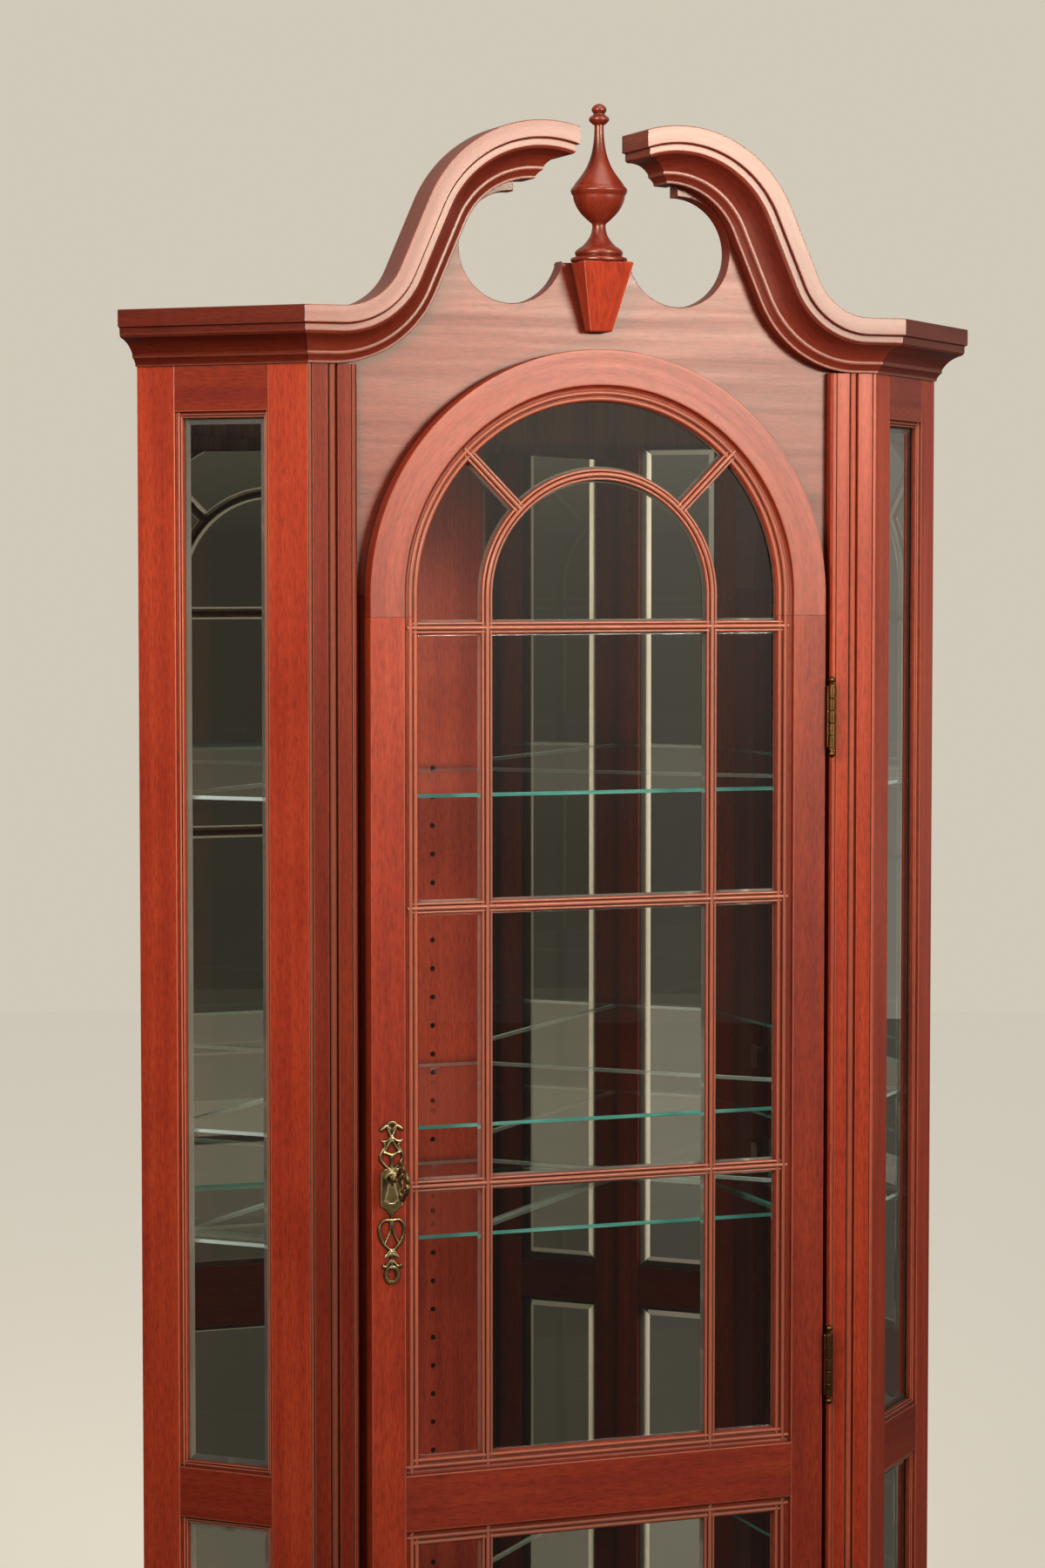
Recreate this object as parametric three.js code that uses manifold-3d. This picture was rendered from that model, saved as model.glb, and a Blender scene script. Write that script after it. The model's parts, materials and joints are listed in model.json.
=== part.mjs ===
// A corner curio cabinet with a swan neck pediment, canted glazed sides and an arched glazed door.
// Millimetres, +Z up. The floor is z = 0, the front faces -Y, and x = 0 is the cabinet's centre.
import * as THREE from 'three';
import { mergeVertices } from 'three/addons/utils/BufferGeometryUtils.js';
import Module from 'manifold-3d';

// Case plan: y = 0 is the front of the pilasters
const frontHalfWidth = 302.4;
const sideLength = 188.6;
const frameThickness = 20;
const pilasterThickness = 12;
const pilasterWidth = 50;
const faceFrameThickness = 19;
const backPanelThickness = 8;
const backBoardHalfWidth = 60;
const backBoardThickness = 12;
const seatGap = 0.3;

// Base
const plinthHeight = 96;
const plinthProjection = 12;
const plinthThickness = 18;
const baseMouldingHeight = 25;
const mouldingProjection = 17;
const footWidth = 96;
const footArch = 62;
const footCurl = 15.5;
const sideFootShare = 0.33;
const rearFootDepth = 56;
const deckRise = 11;
const deckThickness = 18;

// Door
const doorGap = 9.7;
const doorOverlay = 10.7;
const doorSill = 4;
const doorFace = 9;
const doorThickness = 20;
const archCentreHeight = 1480;
const stileFlat = 34.7;
const stickingWidth = 16.6;
const stickingDepth = 13.6;
const rebateWidth = 6;
const archJointDrop = 20;
const lowerDoorHeight = 480.6;
const midRailFlat = 55;
const bottomRailFlat = 66;
const glassThickness = 3;

// Muntins
const muntinWidth = 11.6;
const muntinDepth = 10;
const muntinFace = 5;
const edgePaneWidth = 71.4;
const topBarDrop = 30.6;
const barCount = 3;

// Cornice, and the board over the door
const archToCornice = 35.3;
const corniceDrop = 53.8;
const corniceProjection = 36.3;
const dustTopDrop = 23;
const dustTopThickness = 18;
const neckSlope = THREE.MathUtils.degToRad(66.3);
const neckBoardLap = 7;
const earLap = 3;

// The pediment's outline as shares of half the front's width
const neckCentreShare = 0.2381;
const neckRiseShare = 0.17626;
const neckRadiusShare = 0.42989;
const sweepRadiusShare = 0.20503;
const cutoutCentreShare = 0.29497;
const cutoutRiseShare = 0.21032;
const cutoutRadiusShare = 0.18056;

// Shares of the round cut-out's radius: the cusp beside the finial, and the flat top under it
const cuspShare = 0.9744;
const flatTopShare = 0.249;

// Keystone and finial
const keystoneTopHalf = 26.8;
const keystoneBottomHalf = 11.8;
const keystoneHeight = 68;
const keystoneTopDepth = 23.2;
const keystoneBottomDepth = 3.3;
const finialHeight = 155.3;
const finialRadius = 28;
const finialClearance = 7.7;

// Side frames
const frontStileFlat = 43.6;
const backStileFlat = 41.8;
const sideStickingWidth = 7;
const sideStickingDepth = 9.5;
const sideGlassThickness = 4;
const sideBevelWidth = 11;
const sideBevelDepth = 2;
const sideHeadDrop = 105;
const sideMidLap = 2;
const sideMidFlat = 49.4;
const sideBottomFlat = 92;

// Pilasters
const reedEdge = 2.6;
const reedGroove = 1.6;
const beadWidth = 7;

// Mirrors and shelves; the shelves stand at shares of the mirrors' height
const mirrorThickness = 4;
const mirrorDrop = 118;
const shelfThickness = 4;
const shelfShares = [0.764, 0.545, 0.472, 0.1313];
const shelfFront = 50;
const shelfClearance = 2;
const clipSize = 11;
const clipThickness = 4;
const clipPinRadius = 2.5;
const clipPinLength = 7;
const pinHoleRadius = 2.9;
const pinHolePitch = 32;
const pinHoleStart = 96;
const pinHoleHeadroom = 340;

// Hinges
const topHingeDrop = 123;
const middleHingeRise = 78.4;
const bottomHingeRise = 114;
const hingeLength = 63;
const hingeInset = 4.7;
const hingeForward = 13.4;
const knuckleCount = 5;
const knuckleRadius = 4.1;
const pinRadius = 1.9;
const pinBore = 2.2;
const leafThickness = 1.6;
const ballRadius = 3.6;
const tipLength = 6;

// Lock, key and escutcheon
const lockHeight = 913.8;
const lockInset = 20.1;
const lockWidth = 20;
const lockLength = 62;
const lockDepth = 7;
const keyRadius = 2.4;
const keyBore = 3;
const keyReach = 15;
const keyBowRadius = 11;
const keyBowHeight = 36;
const keyBowThickness = 3.4;
const keyBowWall = 3.6;
const keyEyeShare = 0.2;
const pawlLength = 24;
const pawlWidth = 11;
const pawlThickness = 3;
const escutcheonHeight = 160.8;
const escutcheonHalfWidth = 13.3;
const keyholeShare = 0.347;
const escutcheonThickness = 2;

// Cuts run this far past what they cut; arcs have this many steps
const overrun = 2;
const arcSteps = 28;
const slope = Math.SQRT1_2;
const mitreShare = Math.tan(Math.PI / 8);

// Places that follow from the sizes
const faceFrameFront = pilasterThickness + seatGap;
const faceFrameBack = faceFrameFront + faceFrameThickness;
const sideBackX = frontHalfWidth + sideLength * slope;
const sideBackY = sideLength * slope;
const wallSum = sideBackX + sideBackY;
const panelSum = wallSum - backPanelThickness / slope;
const mirrorSum = panelSum - (mirrorThickness + 2 * seatGap) / slope;
const backFace = panelSum - backBoardHalfWidth;
const deckTop = plinthHeight + baseMouldingHeight + deckRise;
const deckBottom = deckTop - deckThickness;
const doorBottom = deckTop + doorSill;
const pilasterInner = frontHalfWidth - pilasterWidth;
const doorHalfWidth = pilasterInner - doorGap;
const openingHalfWidth = doorHalfWidth - doorOverlay;
const midRailTop = doorBottom + lowerDoorHeight;
const corniceTop = archCentreHeight + doorHalfWidth + archToCornice;
const corniceBottom = corniceTop - corniceDrop;
const dustTop = corniceTop - dustTopDrop;
const cutoutCentre = frontHalfWidth * cutoutCentreShare;
const cutoutRadius = frontHalfWidth * cutoutRadiusShare;
const cutoutHeight = corniceTop + frontHalfWidth * cutoutRiseShare;
const tympanumTop = cutoutHeight - cutoutRadius * flatTopShare;

const wasm = await Module();
wasm.setup();

// Colours read off the finished wood, metal and glass
const finishes = {
  cherry: [0xa84a2c, 0.38, 0],
  darkCherry: [0x7c2f1c, 0.45, 0],
  plywood: [0x8a6a4a, 0.8, 0],
  glass: [0xdfeae6, 0.05, 0],
  mirror: [0xc9cccb, 0.05, 1],
  brass: [0x8c6f3a, 0.45, 1],
  clear: [0xe8ecec, 0.2, 0],
  steel: [0x8d8d88, 0.4, 1],
};

// Geometry helpers

function toSolid(geometry) {
  const bare = geometry.clone();
  bare.deleteAttribute('normal');
  bare.deleteAttribute('uv');
  const merged = mergeVertices(bare, 1e-4);
  const index = merged.index ? merged.index.array : [...Array(merged.attributes.position.count).keys()];
  const triVerts = Uint32Array.from(index);
  const vertProperties = Float32Array.from(merged.attributes.position.array);
  return new wasm.Manifold(new wasm.Mesh({ numProp: 3, vertProperties, triVerts }));
}

function toGeometry(solid) {
  const mesh = solid.getMesh();
  const geometry = new THREE.BufferGeometry();
  geometry.setAttribute('position', new THREE.BufferAttribute(Float32Array.from(mesh.vertProperties), 3));
  geometry.setIndex(new THREE.BufferAttribute(Uint32Array.from(mesh.triVerts), 1));
  return geometry;
}

function cut(geometry, ...tools) {
  let solid = toSolid(geometry);
  for (const tool of tools) solid = solid.subtract(toSolid(tool));
  return toGeometry(solid);
}

function join(...geometries) {
  let solid = toSolid(geometries[0]);
  for (const geometry of geometries.slice(1)) solid = solid.add(toSolid(geometry));
  return toGeometry(solid);
}

function outline(points, holes = []) {
  const shape = new THREE.Shape(points.map(([x, y]) => new THREE.Vector2(x, y)));
  for (const hole of holes) shape.holes.push(new THREE.Path(hole.map(([x, y]) => new THREE.Vector2(x, y))));
  return shape;
}

// A plan outline raised from one height to another
function upright(points, bottom, top, holes = []) {
  const shape = outline(points, holes);
  const geometry = new THREE.ExtrudeGeometry(shape, { depth: top - bottom, bevelEnabled: false });
  return geometry.translate(0, 0, bottom);
}

// A front view outline (x, z) with its faces at two y values
function facing(points, front, back, holes = []) {
  const shape = outline(points, holes);
  const geometry = new THREE.ExtrudeGeometry(shape, { depth: back - front, bevelEnabled: false });
  return geometry.rotateX(Math.PI / 2).translate(0, back, 0);
}

// A rod along Y
function rodY(radius, front, back, x, z, sides = 12) {
  const geometry = new THREE.CylinderGeometry(radius, radius, back - front, sides);
  return geometry.translate(x, (front + back) / 2, z);
}

// A rod along Z
function rodZ(radius, bottom, top, x, y, sides = 12) {
  const geometry = new THREE.CylinderGeometry(radius, radius, top - bottom, sides);
  return geometry.rotateX(Math.PI / 2).translate(x, y, (bottom + top) / 2);
}

function block(x0, x1, y0, y1, z0, z1) {
  const geometry = new THREE.BoxGeometry(x1 - x0, y1 - y0, z1 - z0);
  return geometry.translate((x0 + x1) / 2, (y0 + y1) / 2, (z0 + z1) / 2);
}

// Joins rings of equal length into one closed body, capped by the section's own triangles
function loft(section, rings) {
  const count = section.length;
  const flat = rings.flat();
  const positions = new Float32Array(flat.flatMap((point) => [point.x, point.y, point.z]));
  const faces = [];
  for (let ring = 0; ring + 1 < rings.length; ring += 1) {
    for (let step = 0; step < count; step += 1) {
      const a = ring * count + step;
      const b = ring * count + ((step + 1) % count);
      faces.push(a, b, b + count, a, b + count, a + count);
    }
  }
  const caps = THREE.ShapeUtils.triangulateShape(section.map(([x, y]) => new THREE.Vector2(x, y)), []);
  const last = (rings.length - 1) * count;
  const turn = THREE.ShapeUtils.isClockWise(section.map(([x, y]) => new THREE.Vector2(x, y)));
  for (const [a, b, c] of caps) {
    if (turn) {
      faces.push(a, b, c, last + a, last + c, last + b);
    } else {
      faces.push(a, c, b, last + a, last + b, last + c);
    }
  }
  let volume = 0;
  for (let at = 0; at < faces.length; at += 3) {
    const [a, b, c] = [flat[faces[at]], flat[faces[at + 1]], flat[faces[at + 2]]];
    volume += a.dot(new THREE.Vector3().crossVectors(b, c));
  }
  if (volume < 0) faces.reverse();
  const geometry = new THREE.BufferGeometry();
  geometry.setAttribute('position', new THREE.BufferAttribute(positions, 3));
  geometry.setIndex(faces);
  return geometry;
}

function mirrored(geometry) {
  const copy = geometry.index ? geometry.clone() : mergeVertices(geometry.clone());
  copy.deleteAttribute('normal');
  copy.deleteAttribute('uv');
  copy.scale(-1, 1, 1);
  const index = Array.from(copy.index.array).reverse();
  copy.setIndex(index);
  return copy;
}

// Points on an arc of a circle, by angle in radians
function arcPoints(centreX, centreY, radius, from, to, steps) {
  return Array.from({ length: steps + 1 }, (_, step) => {
    const angle = from + ((to - from) * step) / steps;
    return [centreX + radius * Math.cos(angle), centreY + radius * Math.sin(angle)];
  });
}

const cabinet = new THREE.Group();
cabinet.name = 'corner_curio_cabinet';

function place(name, geometry, finish, parent = cabinet) {
  const [color, roughness, metalness] = finishes[finish];
  const mesh = new THREE.Mesh(geometry, new THREE.MeshStandardMaterial({ color, roughness, metalness }));
  mesh.name = name;
  parent.add(mesh);
  return mesh;
}

// Each canted side hangs in a group whose x axis runs along the side and whose y axis points inward
const sides = ['right', 'left'].map((name) => {
  const hand = name === 'right' ? 1 : -1;
  const group = new THREE.Group();
  group.position.set(hand * frontHalfWidth, 0, 0);
  group.rotation.z = (hand * Math.PI) / 4;
  cabinet.add(group);
  const handed = (geometry) => (hand === 1 ? geometry : mirrored(geometry));
  return { name, hand, group, handed };
});

// Sticking: a small step and a quarter round, as [across, inward] from the flat face's edge
const stickingStepShare = 0.125;
const stickingSteps = 5;
function sticking(width, depth, grow = 0) {
  const step = depth * stickingStepShare;
  const round = Array.from({ length: stickingSteps + 1 }, (_, at) => {
    const angle = (at * Math.PI) / 2 / stickingSteps;
    const across = (width - step) * Math.sin(angle) + step;
    const inward = (depth - 2 * step) * (1 - Math.cos(angle)) + step;
    return [across + grow, inward - grow];
  });
  return [[step + grow, -grow], ...round, [width + grow, depth]];
}

// Section of a framed member: outer edge at 0, flat face, sticking, rebate for the glass
function framedSection(flat, width, depth, rebate, thickness, grow = 0) {
  const round = sticking(width, depth, grow).map(([across, inward]) => [flat + across, inward]);
  return [
    [0, -grow],
    ...round,
    [flat + width - rebate, depth],
    [flat + width - rebate, thickness],
    [0, thickness],
  ];
}

// Section of a rail as [height, inward]: sticking above, below or on both edges
function railSection(top, bottom, above, below, width, depth, rebate, thickness, grow = 0) {
  const edge = (from, hand, framed) => {
    if (!framed) return [[from, -grow], [from, thickness]];
    const round = sticking(width, depth, grow).map(([across, inward]) => [from + hand * across, inward]);
    const inner = from + hand * (width - rebate);
    return [...round, [inner, depth], [inner, thickness]];
  };
  return [...edge(top, 1, above), ...edge(bottom, -1, below).reverse()];
}

// Side frames

const sideFrameBottom = plinthHeight + seatGap;
const sideFrameTop = corniceTop - seatGap;
const sideInner = frameThickness + seatGap;
const sideSlotDepth = sideStickingDepth + seatGap;

function sideStile(flat, fromFront, grow = 0) {
  const section = framedSection(flat, sideStickingWidth, sideStickingDepth, sideStickingWidth,
    frameThickness, grow);
  const points = section.map(([across, inward]) => [fromFront ? across : sideLength - across, inward]);
  if (fromFront) {
    points[0] = [seatGap, -grow];
    points[points.length - 1] = [frameThickness * mitreShare + seatGap, frameThickness];
  }
  return upright(fromFront ? points : points.reverse(), sideFrameBottom, sideFrameTop);
}

function sideRailSection(top, bottom, above, below) {
  return railSection(top, bottom, above, below, sideStickingWidth, sideStickingDepth,
    sideStickingWidth, frameThickness);
}

// A rail lies between the stiles, coped over their sticking
function sideRail(section) {
  const ends = [frontStileFlat + seatGap, sideLength - backStileFlat - seatGap];
  const rings = ends.map((along) => section.map(([height, inward]) => (
    new THREE.Vector3(along, inward, height)
  )));
  return cut(loft(section, rings), sideStile(frontStileFlat, true, seatGap),
    sideStile(backStileFlat, false, seatGap));
}

const sideMidTop = midRailTop + sideMidLap;
const sideMidBottom = sideMidTop - sideMidFlat;
const sideBottomTop = sideFrameBottom + sideBottomFlat;
const topFlatBottom = corniceTop - sideHeadDrop + sideStickingWidth;
const sideRails = {
  top: sideRailSection(sideFrameTop, topFlatBottom, false, true),
  mid: sideRailSection(sideMidTop, sideMidBottom, true, true),
  bottom: sideRailSection(sideBottomTop, sideFrameBottom, true, false),
};

// Bevelled glass: a pane whose front face steps down to a thinner edge
function bevelledPane(bottom, top) {
  const edge = [frontStileFlat + seatGap, sideLength - backStileFlat - seatGap];
  const front = sideSlotDepth;
  const back = front + sideGlassThickness;
  const box = (inset, depth) => [
    new THREE.Vector3(edge[0] + inset, depth, bottom + seatGap + inset),
    new THREE.Vector3(edge[1] - inset, depth, bottom + seatGap + inset),
    new THREE.Vector3(edge[1] - inset, depth, top - seatGap - inset),
    new THREE.Vector3(edge[0] + inset, depth, top - seatGap - inset),
  ];
  const inset = sideStickingWidth + sideBevelWidth;
  const section = [[0, 0], [1, 0], [1, 1], [0, 1]];
  return loft(section, [box(inset, front), box(sideStickingWidth, front + sideBevelDepth),
    box(0, front + sideBevelDepth), box(0, back)]);
}

for (const { name, group, handed } of sides) {
  place(`side_stile_front_${name}`, handed(sideStile(frontStileFlat, true)), 'cherry', group);
  place(`side_stile_back_${name}`, handed(sideStile(backStileFlat, false)), 'cherry', group);
  for (const [key, section] of Object.entries(sideRails)) {
    place(`side_rail_${key}_${name}`, handed(sideRail(section)), 'cherry', group);
  }
  const upper = bevelledPane(sideMidTop, topFlatBottom);
  const lower = bevelledPane(sideBottomTop, sideMidBottom);
  place(`side_glass_upper_${name}`, handed(upper), 'glass', group);
  place(`side_glass_lower_${name}`, handed(lower), 'glass', group);
}

// Pilasters, reeded: two flats, a bead between quirks in the middle and a quirk near each edge

function pilaster() {
  const outer = frontHalfWidth - seatGap;
  const middle = (pilasterInner + frontHalfWidth) / 2;
  const halfBead = beadWidth / 2;
  const quirk = (at, hand) => [
    [at, 0], [at + (hand * reedGroove) / 2, reedGroove], [at + hand * reedGroove, 0],
  ];
  const bead = arcPoints(middle, halfBead, halfBead, Math.PI, 2 * Math.PI, 6);
  const points = [
    [pilasterInner, pilasterThickness],
    [pilasterInner, reedEdge],
    [pilasterInner + reedEdge, 0],
    ...quirk(pilasterInner + 2 * reedEdge, 1),
    [middle - halfBead - reedGroove, 0],
    ...bead,
    [middle + halfBead + reedGroove, 0],
    ...quirk(outer - reedEdge - reedGroove, 1),
    [outer, 0],
    [outer - pilasterThickness * mitreShare, pilasterThickness],
  ];
  return upright(points, sideFrameBottom, corniceBottom - seatGap);
}

function faceStile() {
  const outer = frontHalfWidth - seatGap;
  const points = [
    [openingHalfWidth, faceFrameFront],
    [outer - faceFrameFront * mitreShare, faceFrameFront],
    [outer - faceFrameBack * mitreShare, faceFrameBack],
    [openingHalfWidth, faceFrameBack],
  ];
  return upright(points, sideFrameBottom, archCentreHeight - seatGap);
}

for (const { name, handed } of sides) {
  place(`pilaster_${name}`, handed(pilaster()), 'cherry');
  place(`face_stile_${name}`, handed(faceStile()), 'cherry');
}

// Swan necks: the same crown section runs from the canted corner, up the neck and back at its end

const crownOut = corniceProjection + pilasterThickness;
const neckCentre = frontHalfWidth * neckCentreShare;
const neckRadius = frontHalfWidth * neckRadiusShare;
const neckCentreHeight = corniceTop + frontHalfWidth * neckRiseShare;
const neckEnd = crownOut + finialRadius + finialClearance;
const sweepRadius = frontHalfWidth * sweepRadiusShare;
const crownOutShares = [1, 1, 0.93, 0.93, 0.885, 0.77, 0.62, 0.5, 0.42, 0.42, 0.385, 0.34, 0.3, 0.3];
const crownDropShares = [0, 0.31, 0.33, 0.45, 0.5, 0.535, 0.6, 0.69, 0.78, 0.84, 0.86, 0.9, 0.95, 1];
const crown = [
  ...crownOutShares.map((share, at) => [crownOut * share, corniceDrop * crownDropShares[at]]),
  [0, corniceDrop],
  [0, 0],
];

// The neck's top line at a drop below it: [x, z] points from the cornice to the inner end
const sweepStart = (() => {
  const upperEnd = [neckCentre + neckRadius * Math.sin(neckSlope),
    neckCentreHeight + neckRadius * Math.cos(neckSlope)];
  const lowerTop = corniceTop + sweepRadius * (1 - Math.cos(neckSlope));
  const run = (upperEnd[1] - lowerTop) / Math.tan(neckSlope);
  return upperEnd[0] + run + sweepRadius * Math.sin(neckSlope);
})();

const sweepSteps = 8;
const crestSteps = 14;
const turnSteps = 3;
function neckLine(drop) {
  const sweep = Array.from({ length: sweepSteps + 1 }, (_, step) => {
    const angle = (neckSlope * step) / sweepSteps;
    const radius = sweepRadius + drop;
    return [sweepStart - radius * Math.sin(angle), corniceTop + sweepRadius - radius * Math.cos(angle)];
  });
  const crest = Array.from({ length: crestSteps + 1 }, (_, step) => {
    const angle = neckSlope * (1 - step / crestSteps);
    const radius = neckRadius - drop;
    return [neckCentre + radius * Math.sin(angle), neckCentreHeight + radius * Math.cos(angle)];
  });
  return [...sweep, ...crest];
}

function swanNeck() {
  const lines = crown.map(([, drop]) => neckLine(drop));
  const behind = pilasterThickness;
  const rings = [crown.map(([out, drop]) => {
    const ahead = out - behind;
    return new THREE.Vector3(frontHalfWidth - seatGap + ahead * mitreShare, -ahead, corniceTop - drop);
  })];
  for (let step = 0; step < lines[0].length; step += 1) {
    rings.push(crown.map(([out], at) => (
      new THREE.Vector3(lines[at][step][0], behind - out, lines[at][step][1])
    )));
  }
  // Past the crest each line runs on round its circle to the mitre, share 1, and turns back there
  const turned = (out, drop, share, y) => {
    const x = neckCentre + (neckEnd - out - neckCentre) * share;
    const rise = Math.sqrt((neckRadius - drop) ** 2 - (neckCentre - x) ** 2);
    return new THREE.Vector3(x, y, neckCentreHeight + rise);
  };
  for (let step = 1; step <= turnSteps; step += 1) {
    rings.push(crown.map(([out, drop]) => turned(out, drop, step / turnSteps, behind - out)));
  }
  rings.push(crown.map(([out, drop]) => turned(out, drop, 1, faceFrameBack)));
  return loft(crown, rings);
}

function sideCornice() {
  const rings = [
    crown.map(([out, drop]) => {
      const ahead = Math.max(out - pilasterThickness, seatGap);
      return new THREE.Vector3(seatGap - ahead * mitreShare, -ahead, corniceTop - drop);
    }),
    crown.map(([out, drop]) => {
      const ahead = Math.max(out - pilasterThickness, seatGap);
      return new THREE.Vector3(sideLength, -ahead, corniceTop - drop);
    }),
  ];
  return loft(crown, rings);
}

for (const { name, group, handed } of sides) {
  place(`swan_neck_${name}`, handed(swanNeck()), 'cherry');
  place(`side_cornice_${name}`, handed(sideCornice()), 'cherry', group);
}

// Tympanum board: arched over the door, round cut-outs above, its top edge behind the necks

function tympanum() {
  const outer = frontHalfWidth - seatGap - faceFrameBack * mitreShare;
  const cuspAngle = Math.PI + Math.acos(cuspShare);
  const earEnd = neckEnd + earLap;
  const earAngle = Math.acos((earEnd - cutoutCentre) / cutoutRadius) + 2 * Math.PI;
  const round = arcPoints(cutoutCentre, cutoutHeight, cutoutRadius, cuspAngle, earAngle, arcSteps);
  const crest = neckLine(neckBoardLap).reverse();
  const half = [
    [cutoutCentre - cutoutRadius * cuspShare, tympanumTop],
    ...round,
    [earEnd, crest[0][1]],
    ...crest.filter(([x]) => x > earEnd && x < outer),
    [outer, corniceTop - neckBoardLap],
    [outer, archCentreHeight],
    [openingHalfWidth, archCentreHeight],
  ];
  const arch = arcPoints(0, archCentreHeight, openingHalfWidth, 0, Math.PI, arcSteps).slice(1, -1);
  const other = half.map(([x, z]) => [-x, z]).reverse();
  return facing([...half, ...arch, ...other], faceFrameFront, faceFrameBack);
}
place('tympanum', tympanum(), 'cherry');

// Keystone: tapers and slopes back to the tympanum
function keystone() {
  const bottom = tympanumTop - keystoneHeight;
  const ring = (half, depth, z) => [
    new THREE.Vector3(-half, -depth, z), new THREE.Vector3(half, -depth, z),
    new THREE.Vector3(half, pilasterThickness, z), new THREE.Vector3(-half, pilasterThickness, z),
  ];
  const section = [[0, 0], [1, 0], [1, 1], [0, 1]];
  return loft(section, [ring(keystoneBottomHalf, keystoneBottomDepth, bottom),
    ring(keystoneTopHalf, keystoneTopDepth, tympanumTop)]);
}
place('keystone', keystone(), 'cherry');

// Finial: turned; each pair is a share of the height and of the radius
const finialShares = [
  [0, 0], [0, 0.97], [0.025, 1], [0.04, 0.81], [0.065, 0.83], [0.085, 0.76], [0.135, 0.44], [0.19, 0.28],
  [0.245, 0.235], [0.27, 0.41], [0.31, 0.64], [0.35, 0.79], [0.39, 0.9], [0.425, 0.92], [0.45, 1],
  [0.478, 0.94], [0.5, 0.85], [0.56, 0.58], [0.615, 0.41], [0.69, 0.26], [0.775, 0.18], [0.85, 0.176],
  [0.9, 0.35], [0.935, 0.21], [0.966, 0.265], [0.988, 0.17], [1, 0],
];
function finial() {
  const points = finialShares.map(([up, out]) => new THREE.Vector2(finialRadius * out, finialHeight * up));
  const geometry = new THREE.LatheGeometry(points, 20).rotateX(Math.PI / 2);
  return geometry.translate(0, (faceFrameBack - keystoneTopDepth) / 2, tympanumTop + seatGap);
}
place('finial', finial(), 'cherry');

// Back of the case

function backPanel() {
  const inward = sideInner * slope;
  const start = [sideBackX - inward, sideBackY + inward];
  const shift = backPanelThickness * slope;
  const end = backBoardHalfWidth + seatGap;
  return upright([start, [end, wallSum - end], [end, panelSum - end], [start[0] - shift, start[1] - shift]],
    deckBottom, dustTop);
}
for (const { name, handed } of sides) {
  place(`back_panel_${name}`, handed(backPanel()), 'plywood');
}

const mirrorTop = corniceTop - mirrorDrop;
const shelfTops = shelfShares.map((share) => deckTop + (mirrorTop - deckTop) * share);

// Back board: narrow and flat across the corner, with a row of shelf pin holes
function backBoard() {
  const board = block(-backBoardHalfWidth, backBoardHalfWidth, backFace, backFace + backBoardThickness,
    deckBottom, dustTop);
  const rows = Math.floor((mirrorTop - deckTop - pinHoleStart - pinHoleHeadroom) / pinHolePitch) + 1;
  const holes = Array.from({ length: rows }, (_, row) => {
    const z = deckTop + pinHoleStart + row * pinHolePitch;
    return rodY(pinHoleRadius, backFace - overrun, backFace + backBoardThickness / 2, 0, z, 6);
  });
  const clips = shelfTops.map((top) => {
    const z = top - shelfThickness - seatGap - clipThickness / 2;
    return rodY(pinHoleRadius, backFace - overrun, backFace + backBoardThickness - overrun, 0, z, 6);
  });
  return cut(board, join(...holes, ...clips));
}
place('back_board', backBoard(), 'cherry');

// Inside corner points of the case, shared by the deck, the dust top and the shelves
const sideDiff = frontHalfWidth - sideInner / slope;
function insidePlan(front, gap, lining) {
  const diff = sideDiff - gap / slope;
  const sum = (lining ? mirrorSum : panelSum) - gap / slope;
  const back = backFace - gap;
  const rear = Math.min(sum - back, backBoardHalfWidth + seatGap);
  const right = [[front + diff, front], [(sum + diff) / 2, (sum - diff) / 2], [rear, back]];
  const left = right.map(([x, y]) => [-x, y]).reverse();
  return [...right, ...left];
}

function deck() {
  const plan = insidePlan(faceFrameBack + seatGap, seatGap, false);
  const tongue = openingHalfWidth - seatGap;
  const front = [
    [-tongue, faceFrameBack + seatGap], [-tongue, faceFrameFront],
    [tongue, faceFrameFront], [tongue, faceFrameBack + seatGap],
  ];
  return upright([...plan, ...front], deckBottom, deckTop);
}
place('bottom_deck', deck(), 'cherry');
place('dust_top', upright(insidePlan(faceFrameBack + seatGap, seatGap, false),
  dustTop - dustTopThickness, dustTop), 'darkCherry');

// Mirrors on the back panels
function mirror() {
  const near = panelSum - seatGap / slope;
  const far = near - mirrorThickness / slope;
  const diff = sideDiff - 2 * seatGap;
  const end = near - backFace + overrun;
  return upright([
    [(near + diff) / 2, (near - diff) / 2], [end, near - end],
    [end, far - end], [(far + diff) / 2, (far - diff) / 2],
  ], deckTop + seatGap, mirrorTop);
}
for (const { name, handed } of sides) {
  place(`mirror_${name}`, handed(mirror()), 'mirror');
}

// Glass shelves, each on five clear clips: two on each side frame and one in the back board.
// A clip is a tongue under the glass, and the one at the back has a pin in its hole.
function shelfClips(top) {
  const z = top - shelfThickness;
  const tongue = (depth) => block(-clipSize / 2, clipSize / 2, -clipSize - depth, -depth,
    z - clipThickness, z);
  const rear = join(
    tongue(seatGap).translate(0, backFace, 0),
    rodY(clipPinRadius, backFace - overrun, backFace + clipPinLength, 0, z - clipThickness / 2, 6),
  );
  const alongs = [frontStileFlat + clipSize, sideLength - backStileFlat];
  const right = alongs.map((along) => (
    tongue(0).rotateZ(-Math.PI * 0.75).translate(
      frontHalfWidth + (along - sideInner) * slope,
      (along + sideInner) * slope,
      0,
    )
  ));
  return [rear, ...right, ...right.map(mirrored)];
}
shelfTops.forEach((top, at) => {
  const plan = insidePlan(shelfFront, shelfClearance, true);
  const pane = upright(plan, top - shelfThickness, top);
  place(`glass_shelf_${at + 1}`, join(pane, ...shelfClips(top)), 'glass');
});

// Base: plinth boards with bracket feet, and the moulding over them

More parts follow.
